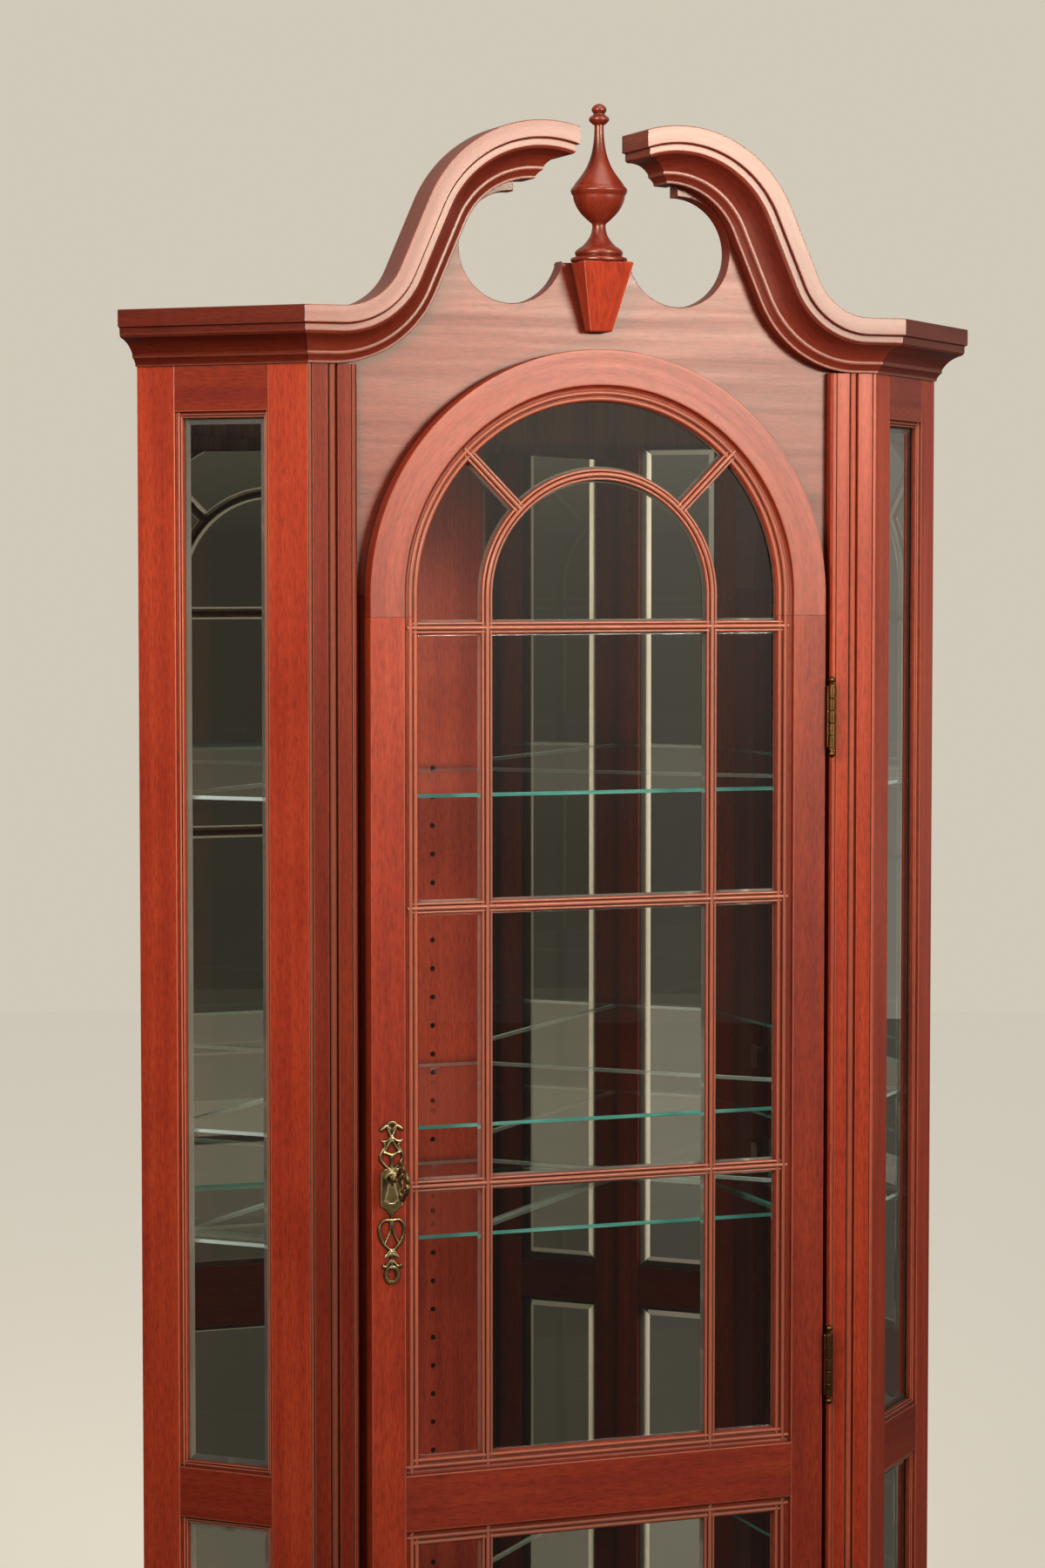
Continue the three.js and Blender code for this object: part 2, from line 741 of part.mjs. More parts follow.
// The foot's inner edge as shares of its width and of the arch's height
const footShares = [[0.6, 0], [0.66, 0.35], [0.84, 0.62], [1, 0.7], [1, 1]];
function bracketOutline(from, to, footSize) {
  const foot = (edge, hand) => [
    ...footShares.map(([across, up]) => [edge + hand * footSize * across, footArch * up]),
    [edge + hand * (footSize + footCurl), footArch],
  ];
  return [
    [from, 0], ...foot(from, 1), ...foot(to, -1).reverse(), [to, 0], [to, plinthHeight], [from, plinthHeight],
  ];
}

function frontPlinth() {
  const outerFront = frontHalfWidth + plinthProjection * mitreShare - seatGap;
  const back = plinthThickness - plinthProjection;
  const board = facing(bracketOutline(-outerFront, outerFront, footWidth), -plinthProjection, back);
  const mitres = [1, -1].map((hand) => {
    const inner = frontHalfWidth - back * mitreShare - seatGap;
    const tool = upright([
      [outerFront + overrun * mitreShare, -plinthProjection - overrun],
      [outerFront + footWidth, -plinthProjection - overrun],
      [outerFront + footWidth, back + overrun],
      [inner - overrun * mitreShare, back + overrun],
    ], -overrun, plinthHeight + overrun);
    return hand === 1 ? tool : mirrored(tool);
  });
  return cut(board, ...mitres);
}

// In a side's own frame: along from the mitre to the wall
function sidePlinth() {
  const back = plinthThickness - plinthProjection;
  const start = -plinthProjection * mitreShare + seatGap;
  const outlinePoints = bracketOutline(start, sideLength, sideLength * sideFootShare);
  const board = facing(outlinePoints, -plinthProjection, back);
  const tool = upright([
    [start - overrun * mitreShare, -plinthProjection - overrun],
    [back * mitreShare + seatGap + overrun * mitreShare, back + overrun],
    [start - footWidth, back + overrun],
    [start - footWidth, -plinthProjection - overrun],
  ], -overrun, plinthHeight + overrun);
  return cut(board, tool);
}

const baseShares = [[1, 0], [1, 0.28], [0.82, 0.34], [0.62, 0.5], [0.5, 0.72], [0.5, 0.8], [0.3, 0.86],
  [0.3, 1]];
const basePoints = [
  ...baseShares.map(([out, up]) => [mouldingProjection * out, plinthHeight + baseMouldingHeight * up]),
  [seatGap, plinthHeight + baseMouldingHeight],
  [seatGap, plinthHeight],
];
function frontBaseMoulding() {
  const rings = [-1, 1].map((hand) => basePoints.map(([out, z]) => (
    new THREE.Vector3(hand * (frontHalfWidth + out * mitreShare - seatGap), -out, z)
  )));
  return loft(basePoints, rings);
}
function sideBaseMoulding() {
  const rings = [
    basePoints.map(([out, z]) => new THREE.Vector3(seatGap - out * mitreShare, -out, z)),
    basePoints.map(([out, z]) => new THREE.Vector3(sideLength, -out, z)),
  ];
  return loft(basePoints, rings);
}
place('plinth_front', join(frontPlinth(), frontBaseMoulding()), 'cherry');
for (const { name, group, handed } of sides) {
  place(`plinth_${name}`, handed(join(sidePlinth(), sideBaseMoulding())), 'cherry', group);
}
place('rear_foot', block(-backBoardHalfWidth, backBoardHalfWidth, backFace - rearFootDepth,
  backFace + backBoardThickness, 0, deckBottom - seatGap), 'darkCherry');

// Door: built closed, hung on the right

const door = new THREE.Group();
cabinet.add(door);
const doorBack = doorThickness - doorFace;
const sightHalf = doorHalfWidth - stileFlat - stickingWidth;
const flatHalf = doorHalfWidth - stileFlat;
const stileTop = archCentreHeight - archJointDrop;
const midRailBottom = midRailTop - midRailFlat;
const lockPlace = doorHalfWidth - lockInset;
const bottomRailTop = doorBottom + bottomRailFlat;

function doorSection(grow = 0) {
  const section = framedSection(stileFlat, stickingWidth, stickingDepth, rebateWidth, doorThickness, grow);
  return section.map(([across, inward]) => [across, inward - doorFace]);
}

function doorStile(grow = 0) {
  const points = doorSection(grow).map(([across, y]) => [doorHalfWidth - across, y]).reverse();
  return upright(points, doorBottom, stileTop - (grow ? 0 : seatGap / 2));
}

// The arched rail follows the section round a half circle and a little way down each side
function archRail(grow = 0) {
  const section = doorSection(grow);
  const legs = [1, -1].map((hand) => section.map(([across, y]) => (
    new THREE.Vector3(hand * (doorHalfWidth - across), y, stileTop + (grow ? 0 : seatGap / 2))
  )));
  const rings = [legs[0]];
  for (let step = 0; step <= arcSteps; step += 1) {
    const angle = (Math.PI * step) / arcSteps;
    rings.push(section.map(([across, y]) => {
      const radius = doorHalfWidth - across;
      return new THREE.Vector3(radius * Math.cos(angle), y, archCentreHeight + radius * Math.sin(angle));
    }));
  }
  rings.push(legs[1]);
  return loft(section, rings);
}

// A door rail, with sticking on its lower edge too when it has glass below
function doorRail(top, bottom, below, grow = 0) {
  const section = railSection(top, bottom, true, below, stickingWidth, stickingDepth,
    rebateWidth, doorThickness, grow).map(([z, inward]) => [z, inward - doorFace]);
  const half = flatHalf - seatGap;
  const rings = [half, -half].map((x) => section.map(([z, y]) => new THREE.Vector3(x, y, z)));
  return loft(section, rings);
}

const stileTools = [doorStile(seatGap), mirrored(doorStile(seatGap))];
const lockHole = rodY(keyBore, -doorFace - escutcheonThickness - overrun, doorBack + overrun,
  -lockPlace, lockHeight);
place('door_stile_hinge', doorStile(), 'cherry', door);
place('door_stile_lock', cut(mirrored(doorStile()), lockHole), 'cherry', door);
place('door_arch_rail', archRail(), 'cherry', door);
place('door_mid_rail', cut(doorRail(midRailTop, midRailBottom, true), ...stileTools), 'cherry', door);
place('door_bottom_rail', cut(doorRail(bottomRailTop, doorBottom, false), ...stileTools), 'cherry', door);

// Muntins: a bar with two reeds and a groove between them
const muntinPlace = sightHalf - edgePaneWidth;
const topBarHeight = archCentreHeight - topBarDrop;
const barPitch = (topBarHeight - midRailTop - muntinWidth) / barCount;
const reedShares = [[-1, 0.55], [-1, 0.3], [-0.78, 0.06], [-0.45, 0], [-0.14, 0.1], [0, 0.26],
  [0.14, 0.1], [0.45, 0], [0.78, 0.06], [1, 0.3], [1, 0.55], [0.5, 1], [-0.5, 1]];
const muntin = reedShares.map(([across, back]) => (
  [(muntinWidth / 2) * across, muntinDepth * back - muntinFace]
));

function uprightMuntin(x, bottom, top) {
  return upright(muntin.map(([across, y]) => [x + across, y]), bottom, top);
}
function bar(z) {
  const rings = [-flatHalf, flatHalf].map((x) => muntin.map(([up, y]) => new THREE.Vector3(x, y, z + up)));
  return loft(muntin, rings);
}
function muntinArch() {
  const rings = Array.from({ length: arcSteps + 1 }, (_, step) => {
    const angle = (Math.PI * step) / arcSteps;
    return muntin.map(([across, y]) => {
      const radius = muntinPlace + across;
      return new THREE.Vector3(radius * Math.cos(angle), y, archCentreHeight + radius * Math.sin(angle));
    });
  });
  return loft(muntin, rings);
}
function spoke(angle) {
  const geometry = uprightMuntin(0, muntinPlace, flatHalf);
  return geometry.rotateY(angle).translate(0, 0, archCentreHeight);
}

const frameTools = [...stileTools, archRail(seatGap), doorRail(midRailTop, midRailBottom, true, seatGap)];
const upperBars = Array.from({ length: barCount }, (_, at) => bar(topBarHeight - at * barPitch));
const upperGrille = join(
  uprightMuntin(muntinPlace, midRailTop, archCentreHeight),
  uprightMuntin(-muntinPlace, midRailTop, archCentreHeight),
  ...upperBars,
  muntinArch(),
  spoke(Math.PI / 4),
  spoke(-Math.PI / 4),
);
place('upper_grille', cut(upperGrille, ...frameTools), 'cherry', door);
const lowerTools = [
  doorRail(midRailTop, midRailBottom, true, seatGap),
  doorRail(bottomRailTop, doorBottom, false, seatGap),
];
for (const { name, handed } of sides) {
  const lower = cut(uprightMuntin(muntinPlace, bottomRailTop, midRailBottom), ...lowerTools);
  place(`lower_muntin_${name}`, handed(lower), 'cherry', door);
}

// Door glass, held in the rebates behind the muntins
const paneHalf = sightHalf + rebateWidth - seatGap;
const paneRebate = stickingWidth - rebateWidth + seatGap;
const paneFront = muntinDepth - muntinFace + seatGap;
const paneBack = paneFront + glassThickness;
const upperPane = facing([
  [-paneHalf, midRailTop + paneRebate], [paneHalf, midRailTop + paneRebate],
  ...arcPoints(0, archCentreHeight, paneHalf, 0, Math.PI, arcSteps),
], paneFront, paneBack);
place('door_glass_upper', upperPane, 'glass', door);
const lowerPane = facing([
  [-paneHalf, bottomRailTop + paneRebate], [paneHalf, bottomRailTop + paneRebate],
  [paneHalf, midRailBottom - paneRebate], [-paneHalf, midRailBottom - paneRebate],
], paneFront, paneBack);
place('door_glass_lower', lowerPane, 'glass', door);

// Butt hinges: knuckles shared by turns between the door leaf and the frame leaf
const hingeOffset = pilasterInner - hingeInset;
const hingeHeights = [
  archCentreHeight - topHingeDrop, midRailTop + middleHingeRise, doorBottom + bottomHingeRise,
];
const knuckleLength = hingeLength / knuckleCount;
function knuckle(middle, at) {
  const bottom = middle - hingeLength / 2 + at * knuckleLength + seatGap / 2;
  return rodZ(knuckleRadius, bottom, bottom + knuckleLength - seatGap, hingeOffset, -hingeForward, 10);
}
function leaf(middle, face, hand, depth, boreRadius) {
  const inner = face + hand * seatGap;
  const outer = inner + hand * leafThickness;
  const xs = [inner, outer].sort((a, b) => a - b);
  const plate = block(xs[0], xs[1], -hingeForward, depth, middle - hingeLength / 2, middle + hingeLength / 2);
  const keep = hand > 0 ? 0 : 1;
  const own = [];
  const clear = [];
  for (let at = 0; at < knuckleCount; at += 1) {
    const bottom = middle - hingeLength / 2 + at * knuckleLength;
    if (at % 2 === keep) own.push(knuckle(middle, at));
    else {
      clear.push(block(hingeOffset - 2 * knuckleRadius, hingeOffset + 2 * knuckleRadius,
        -hingeForward - 2 * knuckleRadius, -hingeForward + knuckleRadius + seatGap,
        bottom - seatGap / 2, bottom + knuckleLength + seatGap / 2));
    }
  }
  const bore = rodZ(boreRadius, middle - hingeLength, middle + hingeLength, hingeOffset, -hingeForward, 10);
  return cut(join(plate, ...own), ...clear, bore);
}
// The pin, with a ball at each end, is fast in the frame leaf's knuckles
function hingePin(middle) {
  const half = hingeLength / 2;
  const shaft = rodZ(pinRadius, middle - half - tipLength, middle + half + tipLength,
    hingeOffset, -hingeForward, 10);
  const tips = [-1, 1].map((hand) => new THREE.SphereGeometry(ballRadius, 8, 6)
    .translate(hingeOffset, -hingeForward, middle + hand * (half + tipLength)));
  return join(shaft, ...tips);
}
hingeHeights.forEach((middle, at) => {
  const frameLeaf = join(leaf(middle, pilasterInner, -1, pilasterThickness, pinRadius), hingePin(middle));
  place(`hinge_leaf_door_${at + 1}`, leaf(middle, doorHalfWidth, 1, doorBack, pinBore), 'brass', door);
  place(`hinge_leaf_frame_${at + 1}`, frameLeaf, 'brass');
});

// Escutcheon: pierced plate; its parts are shares of its height and half width, from the top
const plateBack = -doorFace - seatGap;
const plateFront = plateBack - escutcheonThickness;
const plateTop = lockHeight + escutcheonHeight * keyholeShare;
function plateRing(fromShare, toShare, widthShare, wallShare) {
  const middle = plateTop - escutcheonHeight * (fromShare + toShare) / 2;
  const tall = (escutcheonHeight * (toShare - fromShare)) / 2;
  const wide = escutcheonHalfWidth * widthShare;
  const wall = escutcheonHalfWidth * wallShare;
  const oval = (x, z) => arcPoints(0, 0, 1, 0, 2 * Math.PI, 16).slice(0, -1)
    .map(([a, b]) => [a * x - lockPlace, b * z + middle]);
  return facing(oval(wide, tall), plateFront, plateBack, [oval(wide - wall, tall - wall)]);
}
function plateBar(topShare, bottomShare, widthShare) {
  const half = escutcheonHalfWidth * widthShare;
  return block(-lockPlace - half, -lockPlace + half, plateFront, plateBack,
    plateTop - escutcheonHeight * bottomShare, plateTop - escutcheonHeight * topShare);
}
const shieldShares = [[-0.9, 0.31], [0.9, 0.31], [0.9, 0.535], [0.3, 0.575], [0, 0.61], [-0.3, 0.575],
  [-0.9, 0.535]];
const shield = facing(shieldShares.map(([x, z]) => (
  [escutcheonHalfWidth * x - lockPlace, plateTop - escutcheonHeight * z]
)).reverse(), plateFront, plateBack);
const ringShares = [[0, 0.085, 0.55, 0.26], [0.12, 0.315, 0.95, 0.24], [0.595, 0.79, 1, 0.22],
  [0.88, 1, 0.7, 0.26]];
const barShares = [[0.048, 0.074, 0.86], [0.07, 0.135, 0.22], [0.11, 0.132, 0.8], [0.19, 0.215, 0.85],
  [0.2, 0.32, 0.15], [0.605, 0.72, 0.13], [0.77, 0.83, 0.22], [0.81, 0.845, 0.65], [0.84, 0.895, 0.18],
  [0.885, 0.92, 0.86]];
const escutcheon = cut(join(
  shield,
  ...ringShares.map((shares) => plateRing(...shares)),
  ...barShares.map((shares) => plateBar(...shares)),
), lockHole);
place('escutcheon', escutcheon, 'brass', door);

// Lock: case on the back of the stile, key through it, pawl behind the face frame
const lockFront = doorBack + seatGap;
const lockBack = lockFront + lockDepth;
const lockCase = block(-lockPlace - lockWidth / 2 + keyBore, -lockPlace + lockWidth / 2 + keyBore,
  lockFront, lockBack, lockHeight - lockLength / 2, lockHeight + lockLength / 2);
const caseBore = rodY(keyBore, lockFront - overrun, lockBack + overrun, -lockPlace, lockHeight);
place('lock_case', cut(lockCase, caseBore), 'steel', door);

const keyGroup = new THREE.Group();
keyGroup.position.set(-lockPlace, 0, lockHeight);
door.add(keyGroup);
const bowBack = plateFront - keyReach;
const bowFront = bowBack - 2 * keyBowRadius;
// The bow is a flat pierced plate standing along the shaft, as [forward, up] shares of its size
const bowShares = [[0, 0.16], [0.22, 0.3], [0.3, 0.72], [0.2, 0.86], [0.34, 1], [0.62, 0.92], [0.7, 0.66],
  [0.94, 0.48], [1, 0.2]];
function key() {
  const shaft = rodY(keyRadius, bowBack - keyBowWall, faceFrameBack, 0, 0);
  const collar = rodY(keyRadius + keyBore / 2, bowBack / 2 + plateFront / 2, plateFront - 2 * seatGap, 0, 0);
  const spot = ([ahead, up]) => [-bowBack + 2 * keyBowRadius * ahead, (keyBowHeight / 2) * up];
  const edge = [...bowShares.map(spot), ...bowShares.map(([ahead, up]) => spot([ahead, -up])).reverse()];
  const middle = -bowBack + keyBowRadius;
  const eyes = [1, -1].map((hand) => (
    arcPoints(middle, hand * keyBowHeight * keyEyeShare, keyBowWall, 0, 2 * Math.PI, 10).slice(0, -1)
  ));
  const bow = facing(edge, -keyBowThickness / 2, keyBowThickness / 2, eyes).rotateZ(-Math.PI / 2);
  return join(shaft, collar, bow);
}
place('key', key(), 'brass', keyGroup);
const pawlFront = faceFrameBack + seatGap;
const pawl = block(-pawlWidth / 2, pawlWidth / 2, pawlFront, pawlFront + pawlThickness,
  -pawlLength, pawlWidth / 2);
place('lock_pawl', pawl, 'steel', keyGroup);

// The origin is under the middle of the whole cabinet's length, from the key to the back board
cabinet.position.y = -(bowFront + backFace + backBoardThickness) / 2;

export default cabinet;
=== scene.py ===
"""A corner curio cabinet in red cherry, dressed round its packed frame for Blender 4.5.

Lengths are in metres, +Z is up and the front faces -Y. Most pieces are drawn in a local frame whose
origin is on the floor at the front of the pilasters.
"""

import json
import math
from collections import namedtuple

import bmesh
import bpy
from mathutils import Matrix, Vector
from mathutils.geometry import tessellate_polygon

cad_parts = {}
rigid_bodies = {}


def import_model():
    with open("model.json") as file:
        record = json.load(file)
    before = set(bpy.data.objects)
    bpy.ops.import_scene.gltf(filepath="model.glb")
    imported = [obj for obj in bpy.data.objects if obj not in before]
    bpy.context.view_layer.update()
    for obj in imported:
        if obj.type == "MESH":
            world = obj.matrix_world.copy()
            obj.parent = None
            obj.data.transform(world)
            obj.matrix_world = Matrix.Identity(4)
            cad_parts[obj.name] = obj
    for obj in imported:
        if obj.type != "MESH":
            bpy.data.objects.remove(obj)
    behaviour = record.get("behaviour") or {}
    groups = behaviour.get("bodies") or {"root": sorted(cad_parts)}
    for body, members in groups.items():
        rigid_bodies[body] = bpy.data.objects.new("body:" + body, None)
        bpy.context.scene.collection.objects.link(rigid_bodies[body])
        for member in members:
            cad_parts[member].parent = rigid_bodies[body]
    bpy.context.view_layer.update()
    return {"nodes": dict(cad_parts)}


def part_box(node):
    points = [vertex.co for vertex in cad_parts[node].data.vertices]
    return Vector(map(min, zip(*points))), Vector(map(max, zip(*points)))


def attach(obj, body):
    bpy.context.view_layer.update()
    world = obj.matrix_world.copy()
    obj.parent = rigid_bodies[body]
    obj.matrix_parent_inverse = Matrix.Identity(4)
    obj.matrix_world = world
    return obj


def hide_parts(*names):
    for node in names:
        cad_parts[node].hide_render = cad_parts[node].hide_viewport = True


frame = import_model()

bl_info = {
    "name": "Corner curio cabinet",
    "version": (1, 0, 0),
    "blender": (4, 5, 0),
    "location": "View3D > Sidebar > Curio",
    "description": "Builds a glazed corner cabinet with a swan neck pediment",
    "category": "Add Mesh",
}

# The depth of the pilasters' front, and the slopes of a side and of the mitre at its corner
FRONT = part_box("pilaster_left")[0].y
TURN = math.sqrt(0.5)
MITRE = math.tan(math.radians(22.5))
HANDS = (("right", 1), ("left", -1))

# The hair of clearance between fitted pieces, and the distance under which two points are one
SEAT = 0.0003
WELD = 1e-6

# The easing of boards, and that of glass, brass and narrow sections
BOARD_EASE = 0.0008
THIN_EASE = 0.0005

# The angles over which an edge is shaded sharp, and the width and drop of the panes' ground bevels
SHARP = math.radians(32)
BEVEL_SHARP = math.radians(4)
SIDE_BEVEL = (0.0125, 0.002)
DOOR_BEVEL = (0.0062, 0.0009)

# How far the figure of the wood moves from piece to piece, and the radius of a bead that gets the full
# painted highlight
GRAIN_SHIFT = 0.61
BEAD = 0.002

# Local frames: a board seen from the front, a plan, and a board that stands on a canted side
FACE = Matrix(((1, 0, 0, 0), (0, 0, 1, FRONT), (0, 1, 0, 0), (0, 0, 0, 1)))
PLAN = Matrix(((1, 0, 0, 0), (0, 1, 0, FRONT), (0, 0, 1, 0), (0, 0, 0, 1)))
STANDING = Matrix(((1, 0, 0, 0), (0, 0, 1, 0), (0, 1, 0, 0), (0, 0, 0, 1)))

# Dark, middle and pale tones of the ground bevels and of the polished edges; a bevel's pale line is a painted
# highlight
BEVEL_TONES = ((0.42, 0.40, 0.34), (0.6, 0.58, 0.5), (0.85, 0.84, 0.76))
# The dim tones are painted shade and the lit tones are a painted highlight, for the bevels of a side pane
PAINTED_DIM_TONES = ((0.2, 0.19, 0.17), (0.3, 0.29, 0.26), (0.42, 0.41, 0.37))
PAINTED_LIT_TONES = ((0.8, 0.79, 0.7), (0.9, 0.89, 0.8), (0.98, 0.97, 0.9))
# The sea green of the edges is the glass's own tint; their paleness, strongest on the rear edges, is painted
# light
FRONT_EDGE_TONES = ((0.06, 0.32, 0.27), (0.11, 0.46, 0.39), (0.26, 0.66, 0.57))
REAR_EDGE_TONES = ((0.55, 0.76, 0.7), (0.75, 0.9, 0.86), (0.9, 0.98, 0.95))

# The inner edge of a frame: its moulding's width and depth, the glass rebate and the frame's thickness
Edge = namedtuple("Edge", "width deep rebate thick")
SIDE_EDGE = Edge(0.007, 0.0095, 0.007, 0.02)

# A soft lamp: its name, its place, its two sides, its power in watts and its spread in degrees
Lamp = namedtuple("Lamp", "name place sides watts spread")
LAMPS = (
    Lamp("window_lamp", (-2.6, -2.8, 2.6), (1.5, 1.5), 31, 68),
    Lamp("room_lamp", (1.6, -3.6, 2.2), (1.4, 0.5), 28, 72),
    Lamp("top_lamp", (0.2, -0.9, 3.9), (1.6, 1.6), 11, 120),
)
LAMP_TONE = (1.0, 0.93, 0.82)
LAMP_AIM = Vector((0, 0, 2.15))
ROOM_TONE = (0.95, 0.96, 1.0)
ROOM_STRENGTH = 0.24
FLOOR_RADIUS = 9

# The camera: its place, its lens and sensor in millimetres, and its angles in degrees
CAMERA_PLACE = (-1.4333, -3.7783, 1.515)
CAMERA_LENS = 88.6
CAMERA_SENSOR = 36
CAMERA_DIP = 3.315
CAMERA_TURN = -20.85


def length(name, description, default):
    """A size in the scene's unit of length"""
    return bpy.props.FloatProperty(
        name=name, description=description, default=default, min=0.0, unit="LENGTH", precision=4)


def colour(name, description, default):
    """A colour of a finish"""
    return bpy.props.FloatVectorProperty(
        name=name, description=description, default=default, size=3, min=0.0, max=1.0, subtype="COLOR")


class CaseSizes(bpy.types.PropertyGroup):
    """Sizes of the fixed case"""
    front: length("Half front", "From the middle of the front to the canted corner", 0.3024)
    side: length("Side length", "Length of each canted side", 0.1886)
    side_front: length("Side front stile", "Flat width of a side's front stile", 0.0436)
    side_back: length("Side back stile", "Flat width of a side's back stile", 0.0418)
    side_top: length("Side top rail", "Height of the lower edge of a side's top rail", 1.66)
    side_middle: length("Side middle rail top", "Height of the upper edge of a side's middle rail", 0.6186)
    side_middle_rail: length("Side middle rail", "Flat height of a side's middle rail", 0.0494)
    side_bottom_rail: length("Side bottom rail", "Flat height of a side's bottom rail", 0.092)
    pilaster: length("Pilaster width", "Width of each reeded pilaster", 0.05)
    proud: length("Pilaster thickness", "How far the pilasters stand before the face frame", 0.012)
    face: length("Face frame", "Thickness of the face frame and of the pediment board", 0.019)
    opening: length("Half opening", "Half width of the arched opening", 0.232)
    plinth: length("Plinth height", "Height of the bracket foot boards", 0.096)
    foot: length("Foot width", "Width of each front bracket foot", 0.096)
    foot_arch: length("Foot arch", "Height of the space between the feet", 0.062)
    deck: length("Deck top", "Height of the inside floor", 0.132)
    pin_pitch: length("Pin hole pitch", "Distance between the shelf pin holes", 0.032)
    cornice: length("Cornice top", "Height of the straight cornice", 1.758)
    cornice_drop: length("Cornice drop", "Height of the cornice moulding", 0.0538)
    cornice_out: length("Cornice depth", "Depth of the cornice from the pediment board", 0.0483)
    shelf: length("Shelf thickness", "Thickness of the glass shelves", 0.004)
    ease: length("Eased edge", "Rounding of the wooden edges", 0.0011)


class PedimentSizes(bpy.types.PropertyGroup):
    """Sizes of the swan neck pediment"""
    centre: length("Neck centre", "Sideways place of each crest's centre", 0.072)
    rise: length("Neck rise", "Height of each crest's centre over the cornice", 0.0533)
    radius: length("Neck radius", "Radius of each crest's top line", 0.13)
    sweep: length("Sweep radius", "Radius of the hollow above the corner", 0.062)
    end: length("Neck end", "Where the top line turns back beside the finial", 0.084)
    hole: length("Cut-out radius", "Radius of the round cut-outs", 0.0546)
    hole_x: length("Cut-out centre", "Sideways place of each cut-out's centre", 0.0892)
    hole_rise: length("Cut-out rise", "Height of each cut-out's centre over the cornice", 0.0636)
    seat: length("Finial seat", "Height of the finial's seat over the cornice", 0.05)
    keystone: length("Keystone height", "Height of the tapered block under the finial", 0.068)
    finial: length("Finial height", "Height of the turned finial", 0.1553)
    finial_radius: length("Finial radius", "Widest radius of the finial", 0.028)


class DoorSizes(bpy.types.PropertyGroup):
    """Sizes of the arched door"""
    half: length("Half width", "Half width of the door", 0.2427)
    bottom: length("Bottom", "Height of the door's lower edge", 0.136)
    centre: length("Arch centre", "Height of the arch's centre", 1.48)
    face: length("Overlay", "How far the door stands before the pilasters", 0.009)
    thick: length("Thickness", "Thickness of the door frame", 0.02)
    joint: length("Arch joint", "How far the joints of the arch lie under its centre", 0.02)
    stile: length("Stile", "Flat width of the stiles and of the arch", 0.0347)
    moulding: length("Moulding width", "Width of the moulded inner edge", 0.0166)
    moulding_deep: length("Moulding depth", "Depth of the moulded inner edge", 0.0136)
    rebate: length("Rebate", "Width of the rebate that holds the glass", 0.006)
    bar: length("Glazing bar", "Width of the reeded glazing bars", 0.0116)
    bar_x: length("Bar place", "Sideways place of the upright bars", 0.12)
    bar_drop: length("Top bar", "How far the topmost cross bar lies under the arch's centre", 0.0306)
    middle: length("Middle rail top", "Height of the middle rail's upper edge", 0.6166)
    middle_rail: length("Middle rail", "Flat height of the middle rail", 0.055)
    bottom_rail: length("Bottom rail", "Flat height of the bottom rail", 0.066)
    keyhole: length("Keyhole height", "Height of the keyhole", 0.9138)
    keyhole_x: length("Keyhole place", "Sideways place of the keyhole", 0.2226)


class Finishes(bpy.types.PropertyGroup):
    """Colours of the finishes"""
    cherry: colour("Cherry", "Usual tone of the lacquered wood", (0.285, 0.029, 0.0105))
    cherry_deep: colour("Deep cherry", "Darker figure of the wood", (0.225, 0.0200, 0.0085))
    cherry_light: colour("Light cherry", "Lighter figure of the wood", (0.335, 0.0420, 0.0145))
    # The pale tone that beads and eased edges are lightened towards is a painted highlight
    cherry_painted_highlight: colour("Painted highlight on cherry", "Pale tone of the beads and edges", (0.8, 0.36, 0.22))
    brass: colour("Aged brass", "Tone of the dull brass", (0.165, 0.118, 0.05))
    brass_rubbed: colour("Rubbed brass", "Tone of the rubbed edges", (0.62, 0.50, 0.29))
    mirror: colour("Mirror", "Tone of the silvering", (0.66, 0.645, 0.58))
    stage: colour("Stage", "Tone of the floor and the background", (0.635, 0.585, 0.485))


# Outlines and curves

def arc(x, y, radius, start, end, steps):
    """Points along part of a circle, both ends included"""
    turns = [start + (end - start) * step / steps for step in range(steps + 1)]
    return [Vector((x + radius * math.cos(turn), y + radius * math.sin(turn))) for turn in turns]


def circle(x, y, radius, steps):
    """A closed circle, its first point given once"""
    return arc(x, y, radius, 0, 2 * math.pi, steps)[:-1]


def rectangle(left, bottom, right, top):
    """A closed rectangle"""
    return [Vector(corner) for corner in ((left, bottom), (right, bottom), (right, top), (left, top))]


def mirrored(points):
    """The points' mirror image on the other side of the middle, in the opposite order"""
    return [Vector((-point.x, point.y)) for point in points[::-1]]


def smooth(points, steps=5):
    """A curve through the points, as a list of finer points"""
    points = [Vector(point) for point in points]
    fine = []
    for at in range(len(points) - 1):
        p1, p2 = points[at], points[at + 1]
        p0 = points[at - 1] if at else p1 * 2 - p2
        p3 = points[at + 2] if at + 2 < len(points) else p2 * 2 - p1
        for step in range(steps):
            t = step / steps
            fine.append(0.5 * (2 * p1 + (p2 - p0) * t + (2 * p0 - 5 * p1 + 4 * p2 - p3) * t ** 2
                               + (3 * p1 - p0 - 3 * p2 + p3) * t ** 3))
    return fine + [points[-1]]


def eased(points, radius, steps=2):
    """A closed outline with its sharp corners rounded"""
    points = [Vector(point) for point in points]
    longest = 0.45
    soft = []
    for at, point in enumerate(points):
        before = points[at - 1] - point
        after = points[(at + 1) % len(points)] - point
        if math.pi - before.angle(after, math.pi) < SHARP:
            soft.append(point)
            continue
        start = point + before.normalized() * min(radius, before.length * longest)
        end = point + after.normalized() * min(radius, after.length * longest)
        for step in range(steps + 1):
            t = step / steps
            soft.append(start.lerp(point, t).lerp(point.lerp(end, t), t))
    return soft


def without_repeats(points):
    """The points, less each one that falls on the point before it"""
    return points[:1] + [
        point for before, point in zip(points, points[1:]) if (Vector(point) - Vector(before)).length > WELD]


